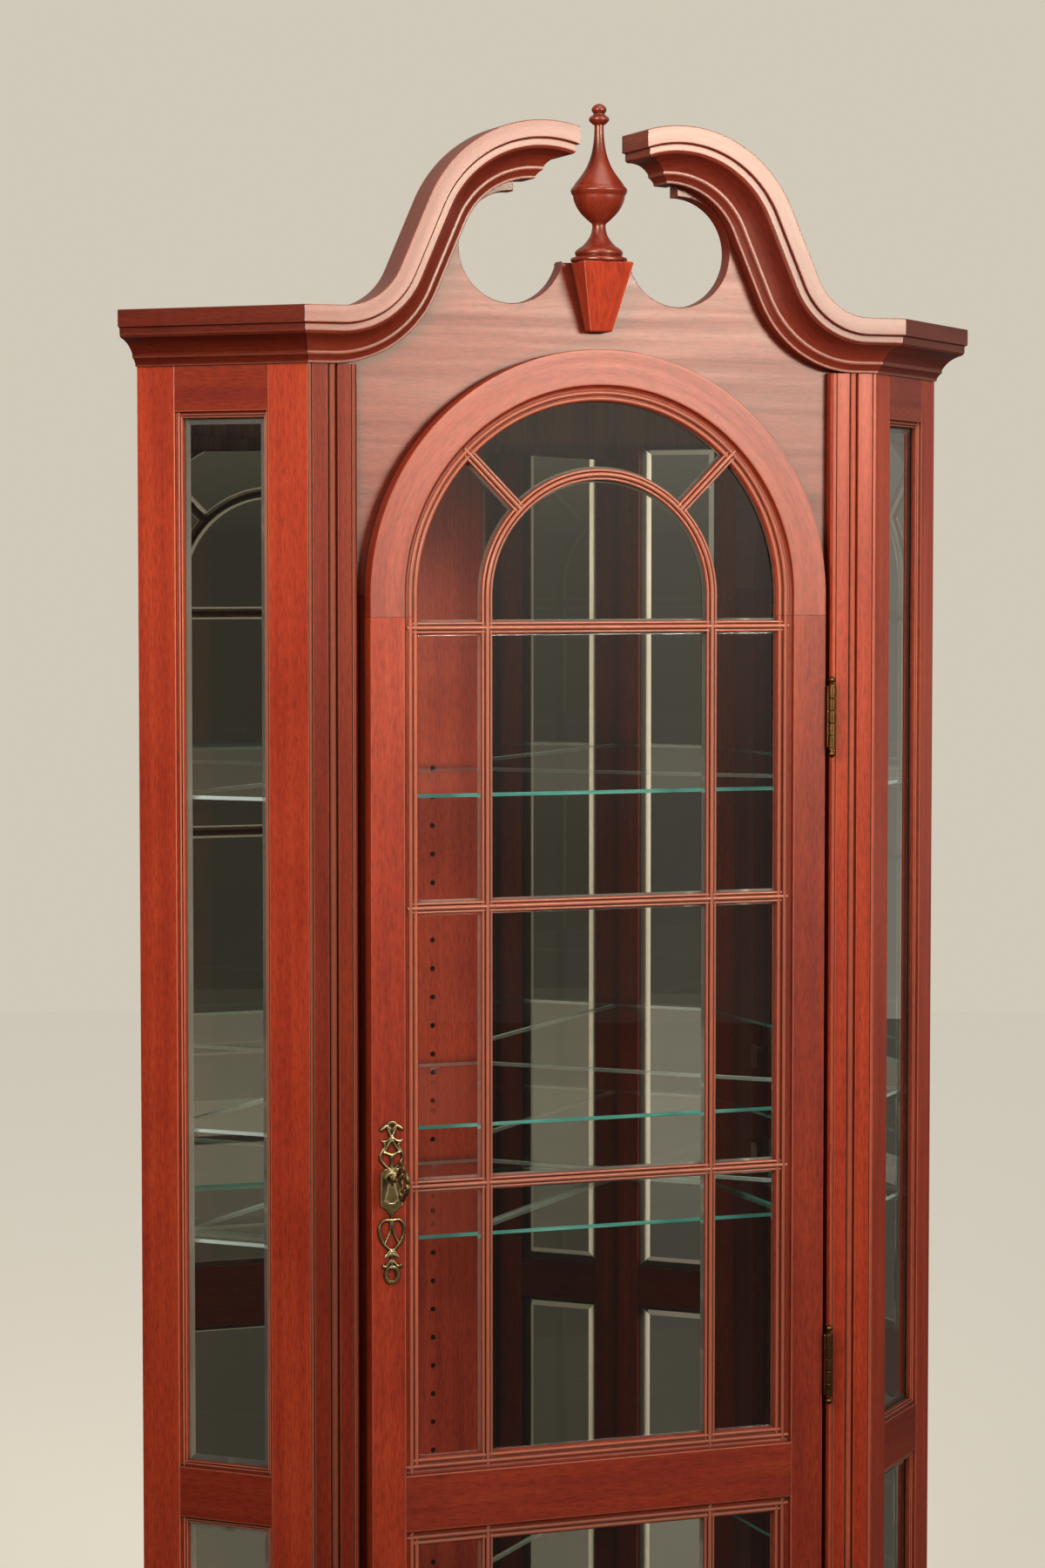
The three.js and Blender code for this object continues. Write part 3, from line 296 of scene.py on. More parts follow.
def inset(loop, distance):
    """The loop moved to its left by a distance, mitred at its corners"""
    moved = []
    for at, point in enumerate(loop):
        before = (point - loop[at - 1]).normalized()
        after = (loop[(at + 1) % len(loop)] - point).normalized()
        left = Vector((-before.y, before.x)) + Vector((-after.y, after.x))
        share = max(left.length_squared / 2, 0.3)
        moved.append(point + left * distance / share)
    return moved


def signed_area(loop):
    """The loop's area, below zero where it runs clockwise"""
    return sum(a.x * b.y - b.x * a.y for a, b in zip(loop, loop[1:] + loop[:1])) / 2


def side_frame(hand):
    """The frame of a canted side: along it, inward and up"""
    case = bpy.context.scene.curio_case
    along = Vector((hand * TURN, TURN, 0))
    inward = Vector((-hand * TURN, TURN, 0))
    return Matrix((
        (along.x, inward.x, 0, hand * case.front),
        (along.y, inward.y, 0, FRONT),
        (0, 0, 1, 0),
        (0, 0, 0, 1)))


def local_box(node):
    """The box of a CAD node in the local frame"""
    low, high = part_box(node)
    return Vector((low.x, low.y - FRONT, low.z)), Vector((high.x, high.y - FRONT, high.z))


def flipped(hand, rings):
    """The rings for the right or, turned over, for the left"""
    return [[Vector((point.x * hand, point.y, point.z)) for point in ring] for ring in rings]


def arch_rings(section, radius, steps):
    """The section carried round the door's arch, from right to left, as (outward, depth)"""
    centre = bpy.context.scene.curio_door.centre
    rings = []
    for step in range(steps + 1):
        turn = math.pi * step / steps
        rings.append([
            Vector(((radius + out) * math.cos(turn), depth, centre + (radius + out) * math.sin(turn)))
            for out, depth in section])
    return rings


# Mesh builders: each gives its vertices a grain place, along the piece and across its section

def crests(section):
    """How far each point of a closed section stands on a bead or an edge, from 0 to 1"""
    way = 1 if signed_area(section) > 0 else -1
    found = []
    for at, point in enumerate(section):
        before, after = point - section[at - 1], section[(at + 1) % len(section)] - point
        bend = before.angle_signed(after, 0.0) * -way / ((before.length + after.length) / 2)
        found.append(min(max(bend * BEAD, 0.0), 1.0))
    return found


def finish_mesh(name, points, faces, grain, sharp=SHARP, crest=None):
    """Makes the mesh, turns its faces outward and links it as a piece"""
    mesh = bpy.data.meshes.new(name)
    mesh.from_pydata([tuple(point) for point in points], [], faces)
    shift = GRAIN_SHIFT * len(bpy.data.objects)
    places = mesh.attributes.new("grain", "FLOAT_VECTOR", "POINT")
    places.data.foreach_set("vector", [value for x, y, z in grain for value in (x + shift, y, z)])
    mesh.attributes.new("crest", "FLOAT", "POINT").data.foreach_set("value", crest or [0.0] * len(points))
    work = bmesh.new()
    work.from_mesh(mesh)
    bmesh.ops.remove_doubles(work, verts=work.verts, dist=WELD)
    bmesh.ops.recalc_face_normals(work, faces=work.faces)
    if work.calc_volume(signed=True) < 0:
        bmesh.ops.reverse_faces(work, faces=work.faces)
    work.to_mesh(mesh)
    work.free()
    mesh.polygons.foreach_set("use_smooth", [True] * len(mesh.polygons))
    mesh.set_sharp_from_angle(angle=sharp)
    return shown(name, mesh)


def shown(name, mesh):
    """Links a mesh to the scene, its flat faces shaded flat and only its eased edges shaded round"""
    piece = bpy.data.objects.new(name, mesh)
    bpy.context.scene.collection.objects.link(piece)
    shading = piece.modifiers.new("flat_faces", "WEIGHTED_NORMAL")
    shading.keep_sharp = True
    shading.weight = 100
    return piece


def sweep(name, section, rings, matrix=PLAN):
    """A body through rings of points that all follow one section"""
    count = len(section)
    faces = []
    for ring in range(len(rings) - 1):
        for step in range(count):
            a = ring * count + step
            b = ring * count + (step + 1) % count
            faces.append((a, b, b + count, a + count))
    last = (len(rings) - 1) * count
    faces.append(tuple(range(count - 1, -1, -1)))
    faces.append(tuple(range(last, last + count)))
    run = 0.0
    grain = []
    middle = sum(rings[0], Vector()) / count
    for ring in rings:
        centre = sum(ring, Vector()) / count
        run += (centre - middle).length
        middle = centre
        grain += [(run, point[0], point[1]) for point in section]
    crest = crests([Vector(point) for point in section]) * len(rings)
    points = [matrix @ point for ring in rings for point in ring]
    return finish_mesh(name, points, faces, grain, crest=crest)


def upright(name, section, bottom, top, matrix=PLAN):
    """A moulding run straight up, its section as (across, depth)"""
    return sweep(name, section, [[Vector((a, b, z)) for a, b in section] for z in (bottom, top)], matrix)


def level(name, section, start, end, matrix=PLAN):
    """A moulding run straight across, its section as (height, depth)"""
    return sweep(name, section, [[Vector((x, b, a)) for a, b in section] for x in (start, end)], matrix)


def plate(name, loops, low, high, ease, matrix=FACE, grain_up=False, tilt=None, bevel=None, bare=None):
    """A flat board between two depths: the first loop is its outline and the others are its holes.

    Its edges are eased, or its front alone has a bevel of a given width and drop. A sheet of clear glass is
    left bare at its "low" or "high" depth, so that one face stands for both.
    """
    loops = [[Vector(point) for point in loop] for loop in loops]
    for at, loop in enumerate(loops):
        if (signed_area(loop) > 0) != (at == 0):
            loop.reverse()
    layers = [(low, ease), (low + ease * 0.3, ease * 0.3), (low + ease, 0),
              (high - ease, 0), (high - ease * 0.3, ease * 0.3), (high, ease)]
    if bevel:
        width, drop = bevel
        layers = [(low, width), (low + drop, 0), (high, 0)]
    points = []
    for depth, step in layers:
        for loop in loops:
            points += [Vector((p.x, p.y, depth)) for p in (inset(loop, step) if step else loop)]
    count = sum(len(loop) for loop in loops)
    faces = []
    first = 0
    for loop in loops:
        for at in range(len(loop)):
            a, b = first + at, first + (at + 1) % len(loop)
            for layer in range(len(layers) - 1):
                up = layer * count
                faces.append((a + up, b + up, b + up + count, a + up + count))
        first += len(loop)
    last = (len(layers) - 1) * count
    for a, b, c in tessellate_polygon([[p.to_3d() for p in loop] for loop in loops]):
        if bare != "low":
            faces.append((c, b, a))
        if bare != "high":
            faces.append((a + last, b + last, c + last))
    grain = [(p.y, p.x, p.z) if grain_up else (p.x, p.y, p.z) for p in points]
    if tilt:
        points = [tilt(point) for point in points]
    sharp = BEVEL_SHARP if bevel else SHARP
    return finish_mesh(name, [matrix @ point for point in points], faces, grain, sharp)


def turned(name, profile, place, axis="z", sides=48, sharp=SHARP):
    """A turned piece: its profile is (height, radius) along z, or along y, through a place"""
    points = []
    grain = []
    count = len(profile)
    for step in range(sides):
        turn = 2 * math.pi * step / sides
        for height, radius in profile:
            a, b = radius * math.cos(turn), radius * math.sin(turn)
            grain.append((height, a, b))
            points.append(place + Vector((a, b, height) if axis == "z" else (a, height, b)))
    faces = []
    for step in range(sides):
        here, there = step * count, (step + 1) % sides * count
        for at in range(count - 1):
            faces.append((here + at, here + at + 1, there + at + 1, there + at))
    return finish_mesh(name, points, faces, grain, sharp)


def wire(name, path, widths, depth, flat=1.0, matrix=FACE):
    """A drawn strand in a plane: its radius in millimetres follows the path, and flat squeezes its depth"""
    path = smooth(path, 4)
    radii = [point[0] for point in smooth([(width * 0.001, 0) for width in widths], 4)]
    section = circle(0, 0, 1, 10)
    rings = []
    for at, (point, radius) in enumerate(zip(path, radii)):
        ahead = (path[min(at + 1, len(path) - 1)] - path[max(at - 1, 0)]).normalized()
        across = Vector((-ahead.y, ahead.x))
        rings.append([
            Vector((*(point + across * radius * side.x), depth + flat * radius * side.y))
            for side in section])
    return sweep(name, section, rings, matrix)


def joined(name, pieces, sharp=SHARP):
    """Several built pieces as one"""
    work = bmesh.new()
    for piece in pieces:
        work.from_mesh(piece.data)
    mesh = bpy.data.meshes.new(name)
    work.to_mesh(mesh)
    work.free()
    mesh.set_sharp_from_angle(angle=sharp)
    for piece in pieces:
        old = piece.data
        bpy.data.objects.remove(piece)
        bpy.data.meshes.remove(old)
    return shown(name, mesh)


def dress(piece, material, slot, body, *nodes):
    """Gives a piece its finish, its body and the CAD nodes that it stands for"""
    piece.data.materials.clear()
    piece.data.materials.append(material)
    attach(piece, body)
    if nodes:
        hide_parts(*nodes)


def show_bevels(piece, facing, along=None):
    """Gives the ground bevels round a sheet of glass their own finish.

    With a way along the sheet, the far upright bevel gets a painted highlight and the other three get painted
    shade.
    """
    if along is None:
        finishes = [ground_bevel()]
    else:
        finishes = [ground_bevel("dim_bevel", PAINTED_DIM_TONES), ground_bevel("lit_bevel", PAINTED_LIT_TONES, 0.6)]
        reach = [vertex.co.dot(along) for vertex in piece.data.vertices]
        middle = (min(reach) + max(reach)) / 2
    for finish in finishes:
        piece.data.materials.append(finish)
    for face in piece.data.polygons:
        sloping = 0.5 <= abs(face.normal.dot(facing)) <= 0.999
        lit = along is not None and abs(face.normal.dot(along)) > 0.1 and face.center.dot(along) > middle
        face.material_index = (2 if lit else 1) if sloping else 0


# Finishes

class Pen:
    """Draws the nodes of one tree"""

    def __init__(self, tree):
        self.tree = tree
        self.shader = tree.nodes.get("Principled BSDF")

    def feed(self, socket, value):
        """Links an output to a socket, or gives the socket a plain value"""
        if isinstance(value, bpy.types.NodeSocket):
            self.tree.links.new(value, socket)
        else:
            socket.default_value = value

    def add(self, kind, inputs=None, **settings):
        """A new node with its settings made and its inputs fed"""
        node = self.tree.nodes.new(kind)
        for key, value in settings.items():
            setattr(node, key, value)
        for key, value in (inputs or {}).items():
            self.feed(node.inputs[key], value)
        return node

    def place(self):
        """The place on the piece, in metres"""
        return self.add("ShaderNodeTexCoord").outputs["Object"]

    def ramp(self, value, *stops):
        """A colour ramp: each stop is its place and a colour or a grey"""
        node = self.add("ShaderNodeValToRGB", {"Fac": value})
        while len(node.color_ramp.elements) < len(stops):
            node.color_ramp.elements.new(0.5)
        for element, (place, tone) in zip(node.color_ramp.elements, stops):
            element.position = place
            element.color = (*tone, 1) if isinstance(tone, tuple) else (tone, tone, tone, 1)
        return node.outputs["Color"]

    def noise(self, place, scale, detail, rough, stretch=None):
        """Noise over a place, or over the place stretched along its three ways"""
        if stretch:
            place = self.add("ShaderNodeMapping", {"Vector": place, "Scale": stretch}).outputs["Vector"]
        return self.add("ShaderNodeTexNoise", {
            "Vector": place, "Scale": scale, "Detail": detail, "Roughness": rough}).outputs["Fac"]

    def mix(self, share, first, second, blend="MIX"):
        """Mixes two colours"""
        tones = [
            tone if isinstance(tone, bpy.types.NodeSocket) else (*tone, 1) for tone in (first, second)]
        inputs = {0: share, 6: tones[0], 7: tones[1]}
        return self.add("ShaderNodeMix", inputs, data_type="RGBA", blend_type=blend).outputs[2]

    def times(self, first, second, share=1.0):
        """Darkens or lightens one colour by another"""
        return self.mix(share, first, second, "MULTIPLY")

    def maths(self, operation, first, second):
        """The outcome of a sum with two numbers"""
        return self.add("ShaderNodeMath", {0: first, 1: second}, operation=operation).outputs[0]

    def hollow(self, distance, samples, inside=False):
        """How open the surface is: dark in its hollows or, from inside, dark along its edges"""
        return self.add("ShaderNodeAmbientOcclusion", {"Distance": distance}, samples=samples,
                        inside=inside).outputs["AO"]

    def bump(self, height, strength):
        """Raises the surface a fifth of a millimetre, by a share of it"""
        node = self.add("ShaderNodeBump", {"Height": height, "Strength": strength, "Distance": 0.0002})
        self.set(Normal=node.outputs["Normal"])

    def set(self, **values):
        """Sets or links the shader's inputs"""
        for key, value in values.items():
            self.feed(self.shader.inputs[key.replace("_", " ")], value)

    def surface(self, shader):
        """Ends the tree in a shader"""
        ending = self.tree.nodes.get("Material Output") or self.tree.nodes["World Output"]
        self.feed(ending.inputs["Surface"], shader)

    def blend(self, share, first, second):
        """Ends the tree in two mixed shaders"""
        self.surface(self.add("ShaderNodeMixShader", {0: share, 1: first, 2: second}).outputs["Shader"])


def made_once(paint):
    """Makes each variant of a finish under its own name, and gives the same one after that"""
    def finish(name=paint.__name__, *settings):
        material = bpy.data.materials.get(name)
        if material is None:
            material = bpy.data.materials.new(name)
            material.use_nodes = True
            paint(Pen(material.node_tree), *settings)
        return material
    return finish


def scaled(tone, share):
    """A tone made brighter or darker"""
    return tuple(value * share for value in tone)


@made_once
def cherry_lacquer(pen, tone=1.0, gloss=0.3, shine=0.2, highlight_share=0.25):
    """Red cherry under satin lacquer: long figure, fine pores, painted shade in the hollows and painted
    highlights on the beads
    """
    tones = bpy.context.scene.curio_finishes
    deep, usual, light, rubbed = (
        scaled(shade, tone)
        for shade in (tones.cherry_deep, tones.cherry, tones.cherry_light, tones.cherry_painted_highlight))
    place = pen.add("ShaderNodeAttribute", attribute_name="grain").outputs["Vector"]
    crest = pen.add("ShaderNodeAttribute", attribute_name="crest").outputs["Fac"]
    figure = pen.noise(place, 2.6, 5.0, 0.55, (1.0, 30, 30))
    cloud = pen.noise(place, 1.6, 3.0, 0.55, (2.4, 7, 7))
    pores = pen.noise(place, 1.0, 4.0, 0.7, (80, 520, 520))
    wood = pen.ramp(figure, (0.28, deep), (0.5, usual), (0.74, light))
    patch = pen.ramp(cloud, (0.32, (0.82, 0.74, 0.76)), (0.52, 1.0), (0.7, (1.07, 1.14, 1.12)))
    wood = pen.times(wood, patch)
    wood = pen.times(wood, pen.ramp(pores, (0.36, 0.58), (0.5, 0.95), (0.66, 1.18)), 0.8)
    # Painted shade: the colour is darkened in the hollows and where parts meet, where shade falls
    wood = pen.times(wood, pen.ramp(pen.hollow(0.0105, 8), (0.25, 0.16), (0.6, 0.6), (0.95, 1.0)))
    # Painted highlight: beads and eased edges are lightened towards a pale tone by how sharply they curve,
    # for the lacquer's highlights
    wood = pen.mix(pen.ramp(crest, (0.35, 0.0), (0.95, highlight_share)), wood, rubbed)
    pen.bump(pores, 0.12)
    pen.set(Base_Color=wood, Roughness=pen.ramp(figure, (0.2, gloss + 0.1), (0.8, gloss)),
            Specular_IOR_Level=shine, Specular_Tint=(1.0, 0.92, 0.82, 1))


@made_once
def aged_brass(pen, shade=(1.0, 1.0, 1.0)):
    """Aged brass: brown in the hollows and rubbed pale along its edges, under a lacquer of a given shade"""
    tones = bpy.context.scene.curio_finishes
    place = pen.place()
    mottle = pen.noise(place, 240.0, 4.0, 0.6)
    patch = pen.ramp(pen.noise(place, 70.0, 3.0, 0.6), (0.35, 0.0), (0.65, 0.7))
    edge = pen.ramp(pen.hollow(0.0016, 6, True), (0.25, 0.85), (0.75, 0.0))
    metal = pen.mix(patch, tuple(tones.brass), (0.30, 0.225, 0.105))
    metal = pen.mix(edge, metal, tuple(tones.brass_rubbed))
    metal = pen.times(metal, pen.ramp(pen.hollow(0.004, 6), (0.15, 0.25), (0.7, 1.0)))
    pen.bump(mottle, 0.25)
    pen.set(Base_Color=pen.times(metal, shade), Roughness=pen.ramp(mottle, (0.3, 0.26), (0.7, 0.4)),
            Metallic=1.0)


@made_once
def plated_steel(pen):
    """Dull plated steel, brushed along its length"""
    brushed = pen.noise(pen.place(), 1.0, 3.0, 0.6, (900, 900, 30))
    pen.set(Base_Color=pen.ramp(brushed, (0.3, 0.30), (0.7, 0.42)),
            Roughness=pen.ramp(brushed, (0.3, 0.42), (0.7, 0.3)), Metallic=1.0)


@made_once
def panel_wood(pen):
    """Plain stained panel for the faces that stand to the wall"""
    place = pen.place()
    figure = pen.noise(place, 2.0, 6.0, 0.62, (30, 30, 1.6))
    pores = pen.noise(place, 1.0, 3.0, 0.6, (600, 600, 14))
    wood = pen.ramp(
        figure, (0.3, (0.13, 0.055, 0.027)), (0.5, (0.24, 0.115, 0.06)), (0.72, (0.32, 0.17, 0.09)))
    wood = pen.times(wood, pen.ramp(pores, (0.38, 0.6), (0.52, 1.0)), 0.5)
    pen.bump(pores, 0.2)
    pen.set(Base_Color=wood, Roughness=pen.ramp(figure, (0.3, 0.7), (0.7, 0.58)))


@made_once
def clear_glass(pen, tint, haze=0.0, bend=1.5):
    """Clear glass: what its surface doesn't mirror goes straight through, with a faint drift in its tint"""
    drift = pen.noise(pen.place(), 1.5, 1.0, 0.5)
    tone = pen.ramp(drift, (0.3, tint), (0.7, tuple(min(1.0, value * 1.02) for value in tint)))
    clear = pen.add("ShaderNodeBsdfTransparent", {"Color": tone}).outputs["BSDF"]
    pen.set(Base_Color=(1, 1, 1, 1), Metallic=1.0, Roughness=haze)
    behind = pen.add("ShaderNodeNewGeometry").outputs["Backfacing"]
    seen_bend = pen.maths("SUBTRACT", bend, pen.maths("MULTIPLY", behind, bend - 1 / bend))
    once = pen.add("ShaderNodeFresnel", {"IOR": seen_bend}).outputs["Fac"]
    twice = pen.maths("DIVIDE", pen.maths("MULTIPLY", once, 2.0), pen.maths("ADD", once, 1.0))
    pen.blend(twice, clear, pen.shader.outputs["BSDF"])


def edge_tones(pen, tones, stretch, carried):
    """Gives the shader three drifting tones, and carries a share of the light on inside the glass"""
    drift = pen.noise(pen.place(), 1.0, 3.0, 0.6, stretch)
    tone = pen.ramp(drift, *zip((0.3, 0.55, 0.75), tones))
    pen.set(Base_Color=tone)
    if carried:
        inward = pen.add("ShaderNodeBsdfTranslucent", {"Color": tone}).outputs["BSDF"]
        pen.blend(carried, pen.shader.outputs["BSDF"], inward)


@made_once
def ground_bevel(pen, tones=BEVEL_TONES, carried=0.0):
    """The bevel round a pane: glass that lets most light through, its pale line a painted highlight"""
    edge_tones(pen, tones, (3, 3, 5), carried)
    pen.set(IOR=1.4, Roughness=0.1, Transmission_Weight=0.8)


@made_once
def polished_edge(pen, tones=FRONT_EDGE_TONES):
    """The polished edge of a thick sheet: the glass's own sea green, made pale by painted light for the light
    that it gathers
    """
    edge_tones(pen, tones, (9, 9, 260), 0.5)
    pen.set(Roughness=0.15)


@made_once
def mirror_silver(pen):
    """Old silvered mirror, a little uneven"""
    tone = tuple(bpy.context.scene.curio_finishes.mirror)
    cloud = pen.noise(pen.place(), 5.0, 4.0, 0.6)
    pen.set(Base_Color=pen.ramp(cloud, (0.3, tone), (0.7, scaled(tone, 1.08))), Metallic=1.0, Roughness=0.0)


@made_once
def stage_paper(pen):
    """Pale seamless paper, dimmer where metal and glass mirror it"""
    tone = tuple(bpy.context.scene.curio_finishes.stage)
    fibre = pen.noise(pen.place(), 30.0, 3.0, 0.6)
    paper = pen.ramp(fibre, (0.3, scaled(tone, 0.97)), (0.7, tone))
    rays = pen.add("ShaderNodeLightPath").outputs
    kept = pen.maths("SUBTRACT", 1.0, pen.maths("MULTIPLY", rays["Is Glossy Ray"], 0.85))
    dimmed = pen.add("ShaderNodeVectorMath", {0: paper, "Scale": kept}, operation="SCALE")
    pen.set(Base_Color=dimmed.outputs["Vector"], Roughness=0.9)
    straight_on = pen.maths("MAXIMUM", rays["Is Camera Ray"], rays["Is Transmission Ray"])
    seen = pen.maths("MAXIMUM", pen.maths("MULTIPLY", rays["Is Glossy Ray"], 0.06),
                     pen.maths("MULTIPLY", straight_on, 0.7))
    glow = pen.add("ShaderNodeEmission", {"Color": (*tone, 1), "Strength": seen}).outputs["Emission"]
    pen.surface(pen.add("ShaderNodeAddShader", {0: pen.shader.outputs["BSDF"], 1: glow}).outputs["Shader"])


# Sections shared by several members

def moulded_edge(edge):
    """The hollow and two beads on a frame's inner edge, as (across, inward) from the flat"""
    hollow = smooth([(0.03, 0.05), (0.05, 0.20), (0.11, 0.32), (0.20, 0.385), (0.31, 0.405)], 3)
    beads = smooth([(0.33, 0.40), (0.37, 0.325), (0.46, 0.285), (0.55, 0.325), (0.60, 0.42), (0.62, 0.52)], 3)
    beads += smooth([(0.67, 0.53), (0.70, 0.47), (0.755, 0.42), (0.83, 0.405), (0.90, 0.45), (0.94, 0.55)], 3)
    shares = [(0, 0), *hollow, *beads, (0.98, 0.62), (1, 0.66), (1, 1)]
    return [(edge.width * across, edge.deep * inward) for across, inward in shares]


def member(flat, edge):
    """A stile's section: outer edge, flat face, moulded edge and rebate"""
    inner = flat + edge.width - edge.rebate
    points = [(0, 0), *[(flat + a, b) for a, b in moulded_edge(edge)],
              (inner, edge.deep), (inner, edge.thick), (0, edge.thick)]
    return eased(without_repeats(points), bpy.context.scene.curio_case.ease)


def rail_section(top, bottom, above, below, edge):
    """A rail's section as (height, inward), moulded above, below or on both edges"""
    def side(start, hand, moulded):
        """One edge of the rail, plain or moulded, from its face to its back"""
        if not moulded:
            return [(start, 0), (start, edge.thick)]
        inner = start + hand * (edge.width - edge.rebate)
        return [*[(start + hand * a, b) for a, b in moulded_edge(edge)],
                (inner, edge.deep), (inner, edge.thick)]

    points = side(top, 1, above) + side(bottom, -1, below)[::-1]
    return eased(without_repeats(points), bpy.context.scene.curio_case.ease)


def door_edge():
    """The moulded inner edge of the door's frame"""
    door = bpy.context.scene.curio_door
    return Edge(door.moulding, door.moulding_deep, door.rebate, door.thick)


def crown_section():
    """The cornice's section as (out, drop) from the pediment board, top edge first"""
    case = bpy.context.scene.curio_case
    cyma = smooth([(0.93, 0.45), (0.885, 0.5), (0.77, 0.535), (0.62, 0.6), (0.5, 0.69), (0.42, 0.78)])
    foot = smooth([(0.385, 0.86), (0.34, 0.9), (0.3, 0.95)], 4)
    shares = [(1, 0), (1, 0.31), (0.93, 0.33), *cyma, (0.42, 0.84), *foot, (0.3, 1), (0, 1), (0, 0)]
    return eased([(case.cornice_out * a, case.cornice_drop * b) for a, b in shares], case.ease)


def base_section():
    """The base moulding as (out, height)"""
    case = bpy.context.scene.curio_case
    out, tall = 0.017, 0.025
    cyma = smooth([(0.82, 0.34), (0.62, 0.5), (0.52, 0.64), (0.5, 0.76)])
    cap = smooth([(0.44, 0.84), (0.34, 0.9), (0.3, 0.97)], 4)
    shares = [(1, 0), (1, 0.28), *cyma, *cap, (0.3, 1), (0, 1), (0, 0)]
    return eased([(out * a, case.plinth + tall * b) for a, b in shares], case.ease * 0.7)


def reeded_bar():
    """A glazing bar's section as (across, depth): a proud bead between two low reeds"""
    half = bpy.context.scene.curio_door.bar / 2
    deep, shoulder, steps = 0.01, 0.55, 8
    front = []
    for middle, radius, top in ((-0.71, 0.25, 0.2), (0, 0.36, 0), (0.71, 0.25, 0.2)):
        for step in range(steps + 1):
            turn = math.pi * step / steps
            rise = radius * half * math.sin(turn)
            front.append((half * (middle - radius * math.cos(turn)), deep * top + radius * half - rise))
    points = [(-half, deep * shoulder), *front, (half, deep * shoulder),
              (half * 0.5, deep), (-half * 0.5, deep)]
    return [Vector((a, b - deep / 2)) for a, b in points]


def glazing_rows():
    """The height of the topmost cross bar, and the pitch of the bars below it"""
    door = bpy.context.scene.curio_door
    first = door.centre - door.bar_drop
    return first, (first - door.middle - door.bar) / 3


def neck_line(drop):
    """The swan neck's line at a drop below its top, from the cornice up to the crest, as (x, z)"""
    case, neck = bpy.context.scene.curio_case, bpy.context.scene.curio_pediment
    slope = math.radians(66.3)
    run = (neck.rise + neck.radius * math.cos(slope) - neck.sweep * (1 - math.cos(slope))) / math.tan(slope)
    start = neck.centre + (neck.radius + neck.sweep) * math.sin(slope) + run
    line = []
    for x, z, radius, first, last, steps in (
            (start, case.cornice + neck.sweep, -(neck.sweep + drop), 0, slope, 14),
            (neck.centre, case.cornice + neck.rise, neck.radius - drop, slope, 0, 30)):
        for step in range(steps + 1):
            turn = first + (last - first) * step / steps
            line.append(Vector((x + radius * math.sin(turn), z + radius * math.cos(turn))))
    return line


# Operators: one for each group of pieces

class BuildStage(bpy.types.Operator):
    """Lay the pale floor, hang the soft lamps and set the camera"""
    bl_idname = "curio.build_stage"
    bl_label = "Stage"

    def execute(self, context):
        scene = context.scene
        self.lay_floor(scene)
        self.light_room(scene)
        for lamp in LAMPS:
            self.hang(scene, lamp)
        data = bpy.data.cameras.new("camera")
        data.sensor_width = CAMERA_SENSOR
        data.lens = CAMERA_LENS
        camera = bpy.data.objects.new("camera", data)
        camera.location = CAMERA_PLACE
        camera.rotation_euler = (math.radians(90 - CAMERA_DIP), 0, math.radians(CAMERA_TURN))
        scene.collection.objects.link(camera)
        scene.camera = camera
        scene.view_settings.view_transform = "Standard"
        return {"FINISHED"}

    @staticmethod
    def lay_floor(scene):
        """A round floor of pale paper"""
        rim = circle(0, 0, FLOOR_RADIUS, 64)
        mesh = bpy.data.meshes.new("floor")
        mesh.from_pydata([(point.x, point.y, 0) for point in rim], [], [tuple(range(len(rim)))])
        mesh.materials.append(stage_paper())
        floor = bpy.data.objects.new("floor", mesh)
        scene.collection.objects.link(floor)

    @staticmethod
    def light_room(scene):
        """Plain light from all round, and a backdrop that glass and mirrors show brighter on some sides"""
        scene.world = bpy.data.worlds.new("pale_room")
        scene.world.use_nodes = True
        pen = Pen(scene.world.node_tree)
        around = pen.add("ShaderNodeTexCoord").outputs["Generated"]
        compass = pen.add("ShaderNodeSeparateXYZ", {0: around}).outputs
        rays = pen.add("ShaderNodeLightPath").outputs

        def ranged(way, start, end, least, most):
            """A strength that goes from least to most as the direction goes from start to end"""
            return pen.add("ShaderNodeMapRange", {
                "Value": compass[way], "From Min": start, "From Max": end, "To Min": least,
                "To Max": most}).outputs["Result"]

        right = ranged("X", 0.2, 0.9, 0.1, 0.7)
        above = ranged("Z", -0.02, 0.16, 0.0, 0.7)
        ahead = pen.maths("MULTIPLY", ranged("Y", -0.6, -0.9, 0.0, 1.0), ranged("X", 0.05, 0.3, 0.0, 1.0))
        ahead = pen.maths("MULTIPLY", ahead, ranged("Z", -0.1, 0.03, 0.1, 0.9))
        reflected = pen.maths("MAXIMUM", ahead, pen.maths("MAXIMUM", right, above))
        straight_on = pen.maths("MAXIMUM", rays["Is Camera Ray"], rays["Is Transmission Ray"])
        backdrop = scene.world.node_tree.nodes["Background"]
        pen.feed(backdrop.inputs["Color"], (*scene.curio_finishes.stage, 1))
        pen.feed(backdrop.inputs["Strength"], pen.maths("MAXIMUM", straight_on, reflected))
        room = pen.add("ShaderNodeBackground", {"Color": (*ROOM_TONE, 1), "Strength": ROOM_STRENGTH})
        seen = pen.maths("MAXIMUM", straight_on, rays["Is Glossy Ray"])
        pen.blend(seen, room.outputs[0], backdrop.outputs[0])

    @staticmethod
    def hang(scene, lamp):
        """A soft rectangular lamp, turned to the upper part of the cabinet"""
        data = bpy.data.lights.new(lamp.name, "AREA")
        data.shape = "RECTANGLE"
        data.size, data.size_y = lamp.sides
        data.energy = lamp.watts
        data.color = LAMP_TONE
        data.spread = math.radians(lamp.spread)
        data.cycles.use_multiple_importance_sampling = False
        hung = bpy.data.objects.new(lamp.name, data)
        hung.location = lamp.place
        hung.rotation_euler = (LAMP_AIM - Vector(lamp.place)).to_track_quat("-Z", "Y").to_euler()
        scene.collection.objects.link(hung)


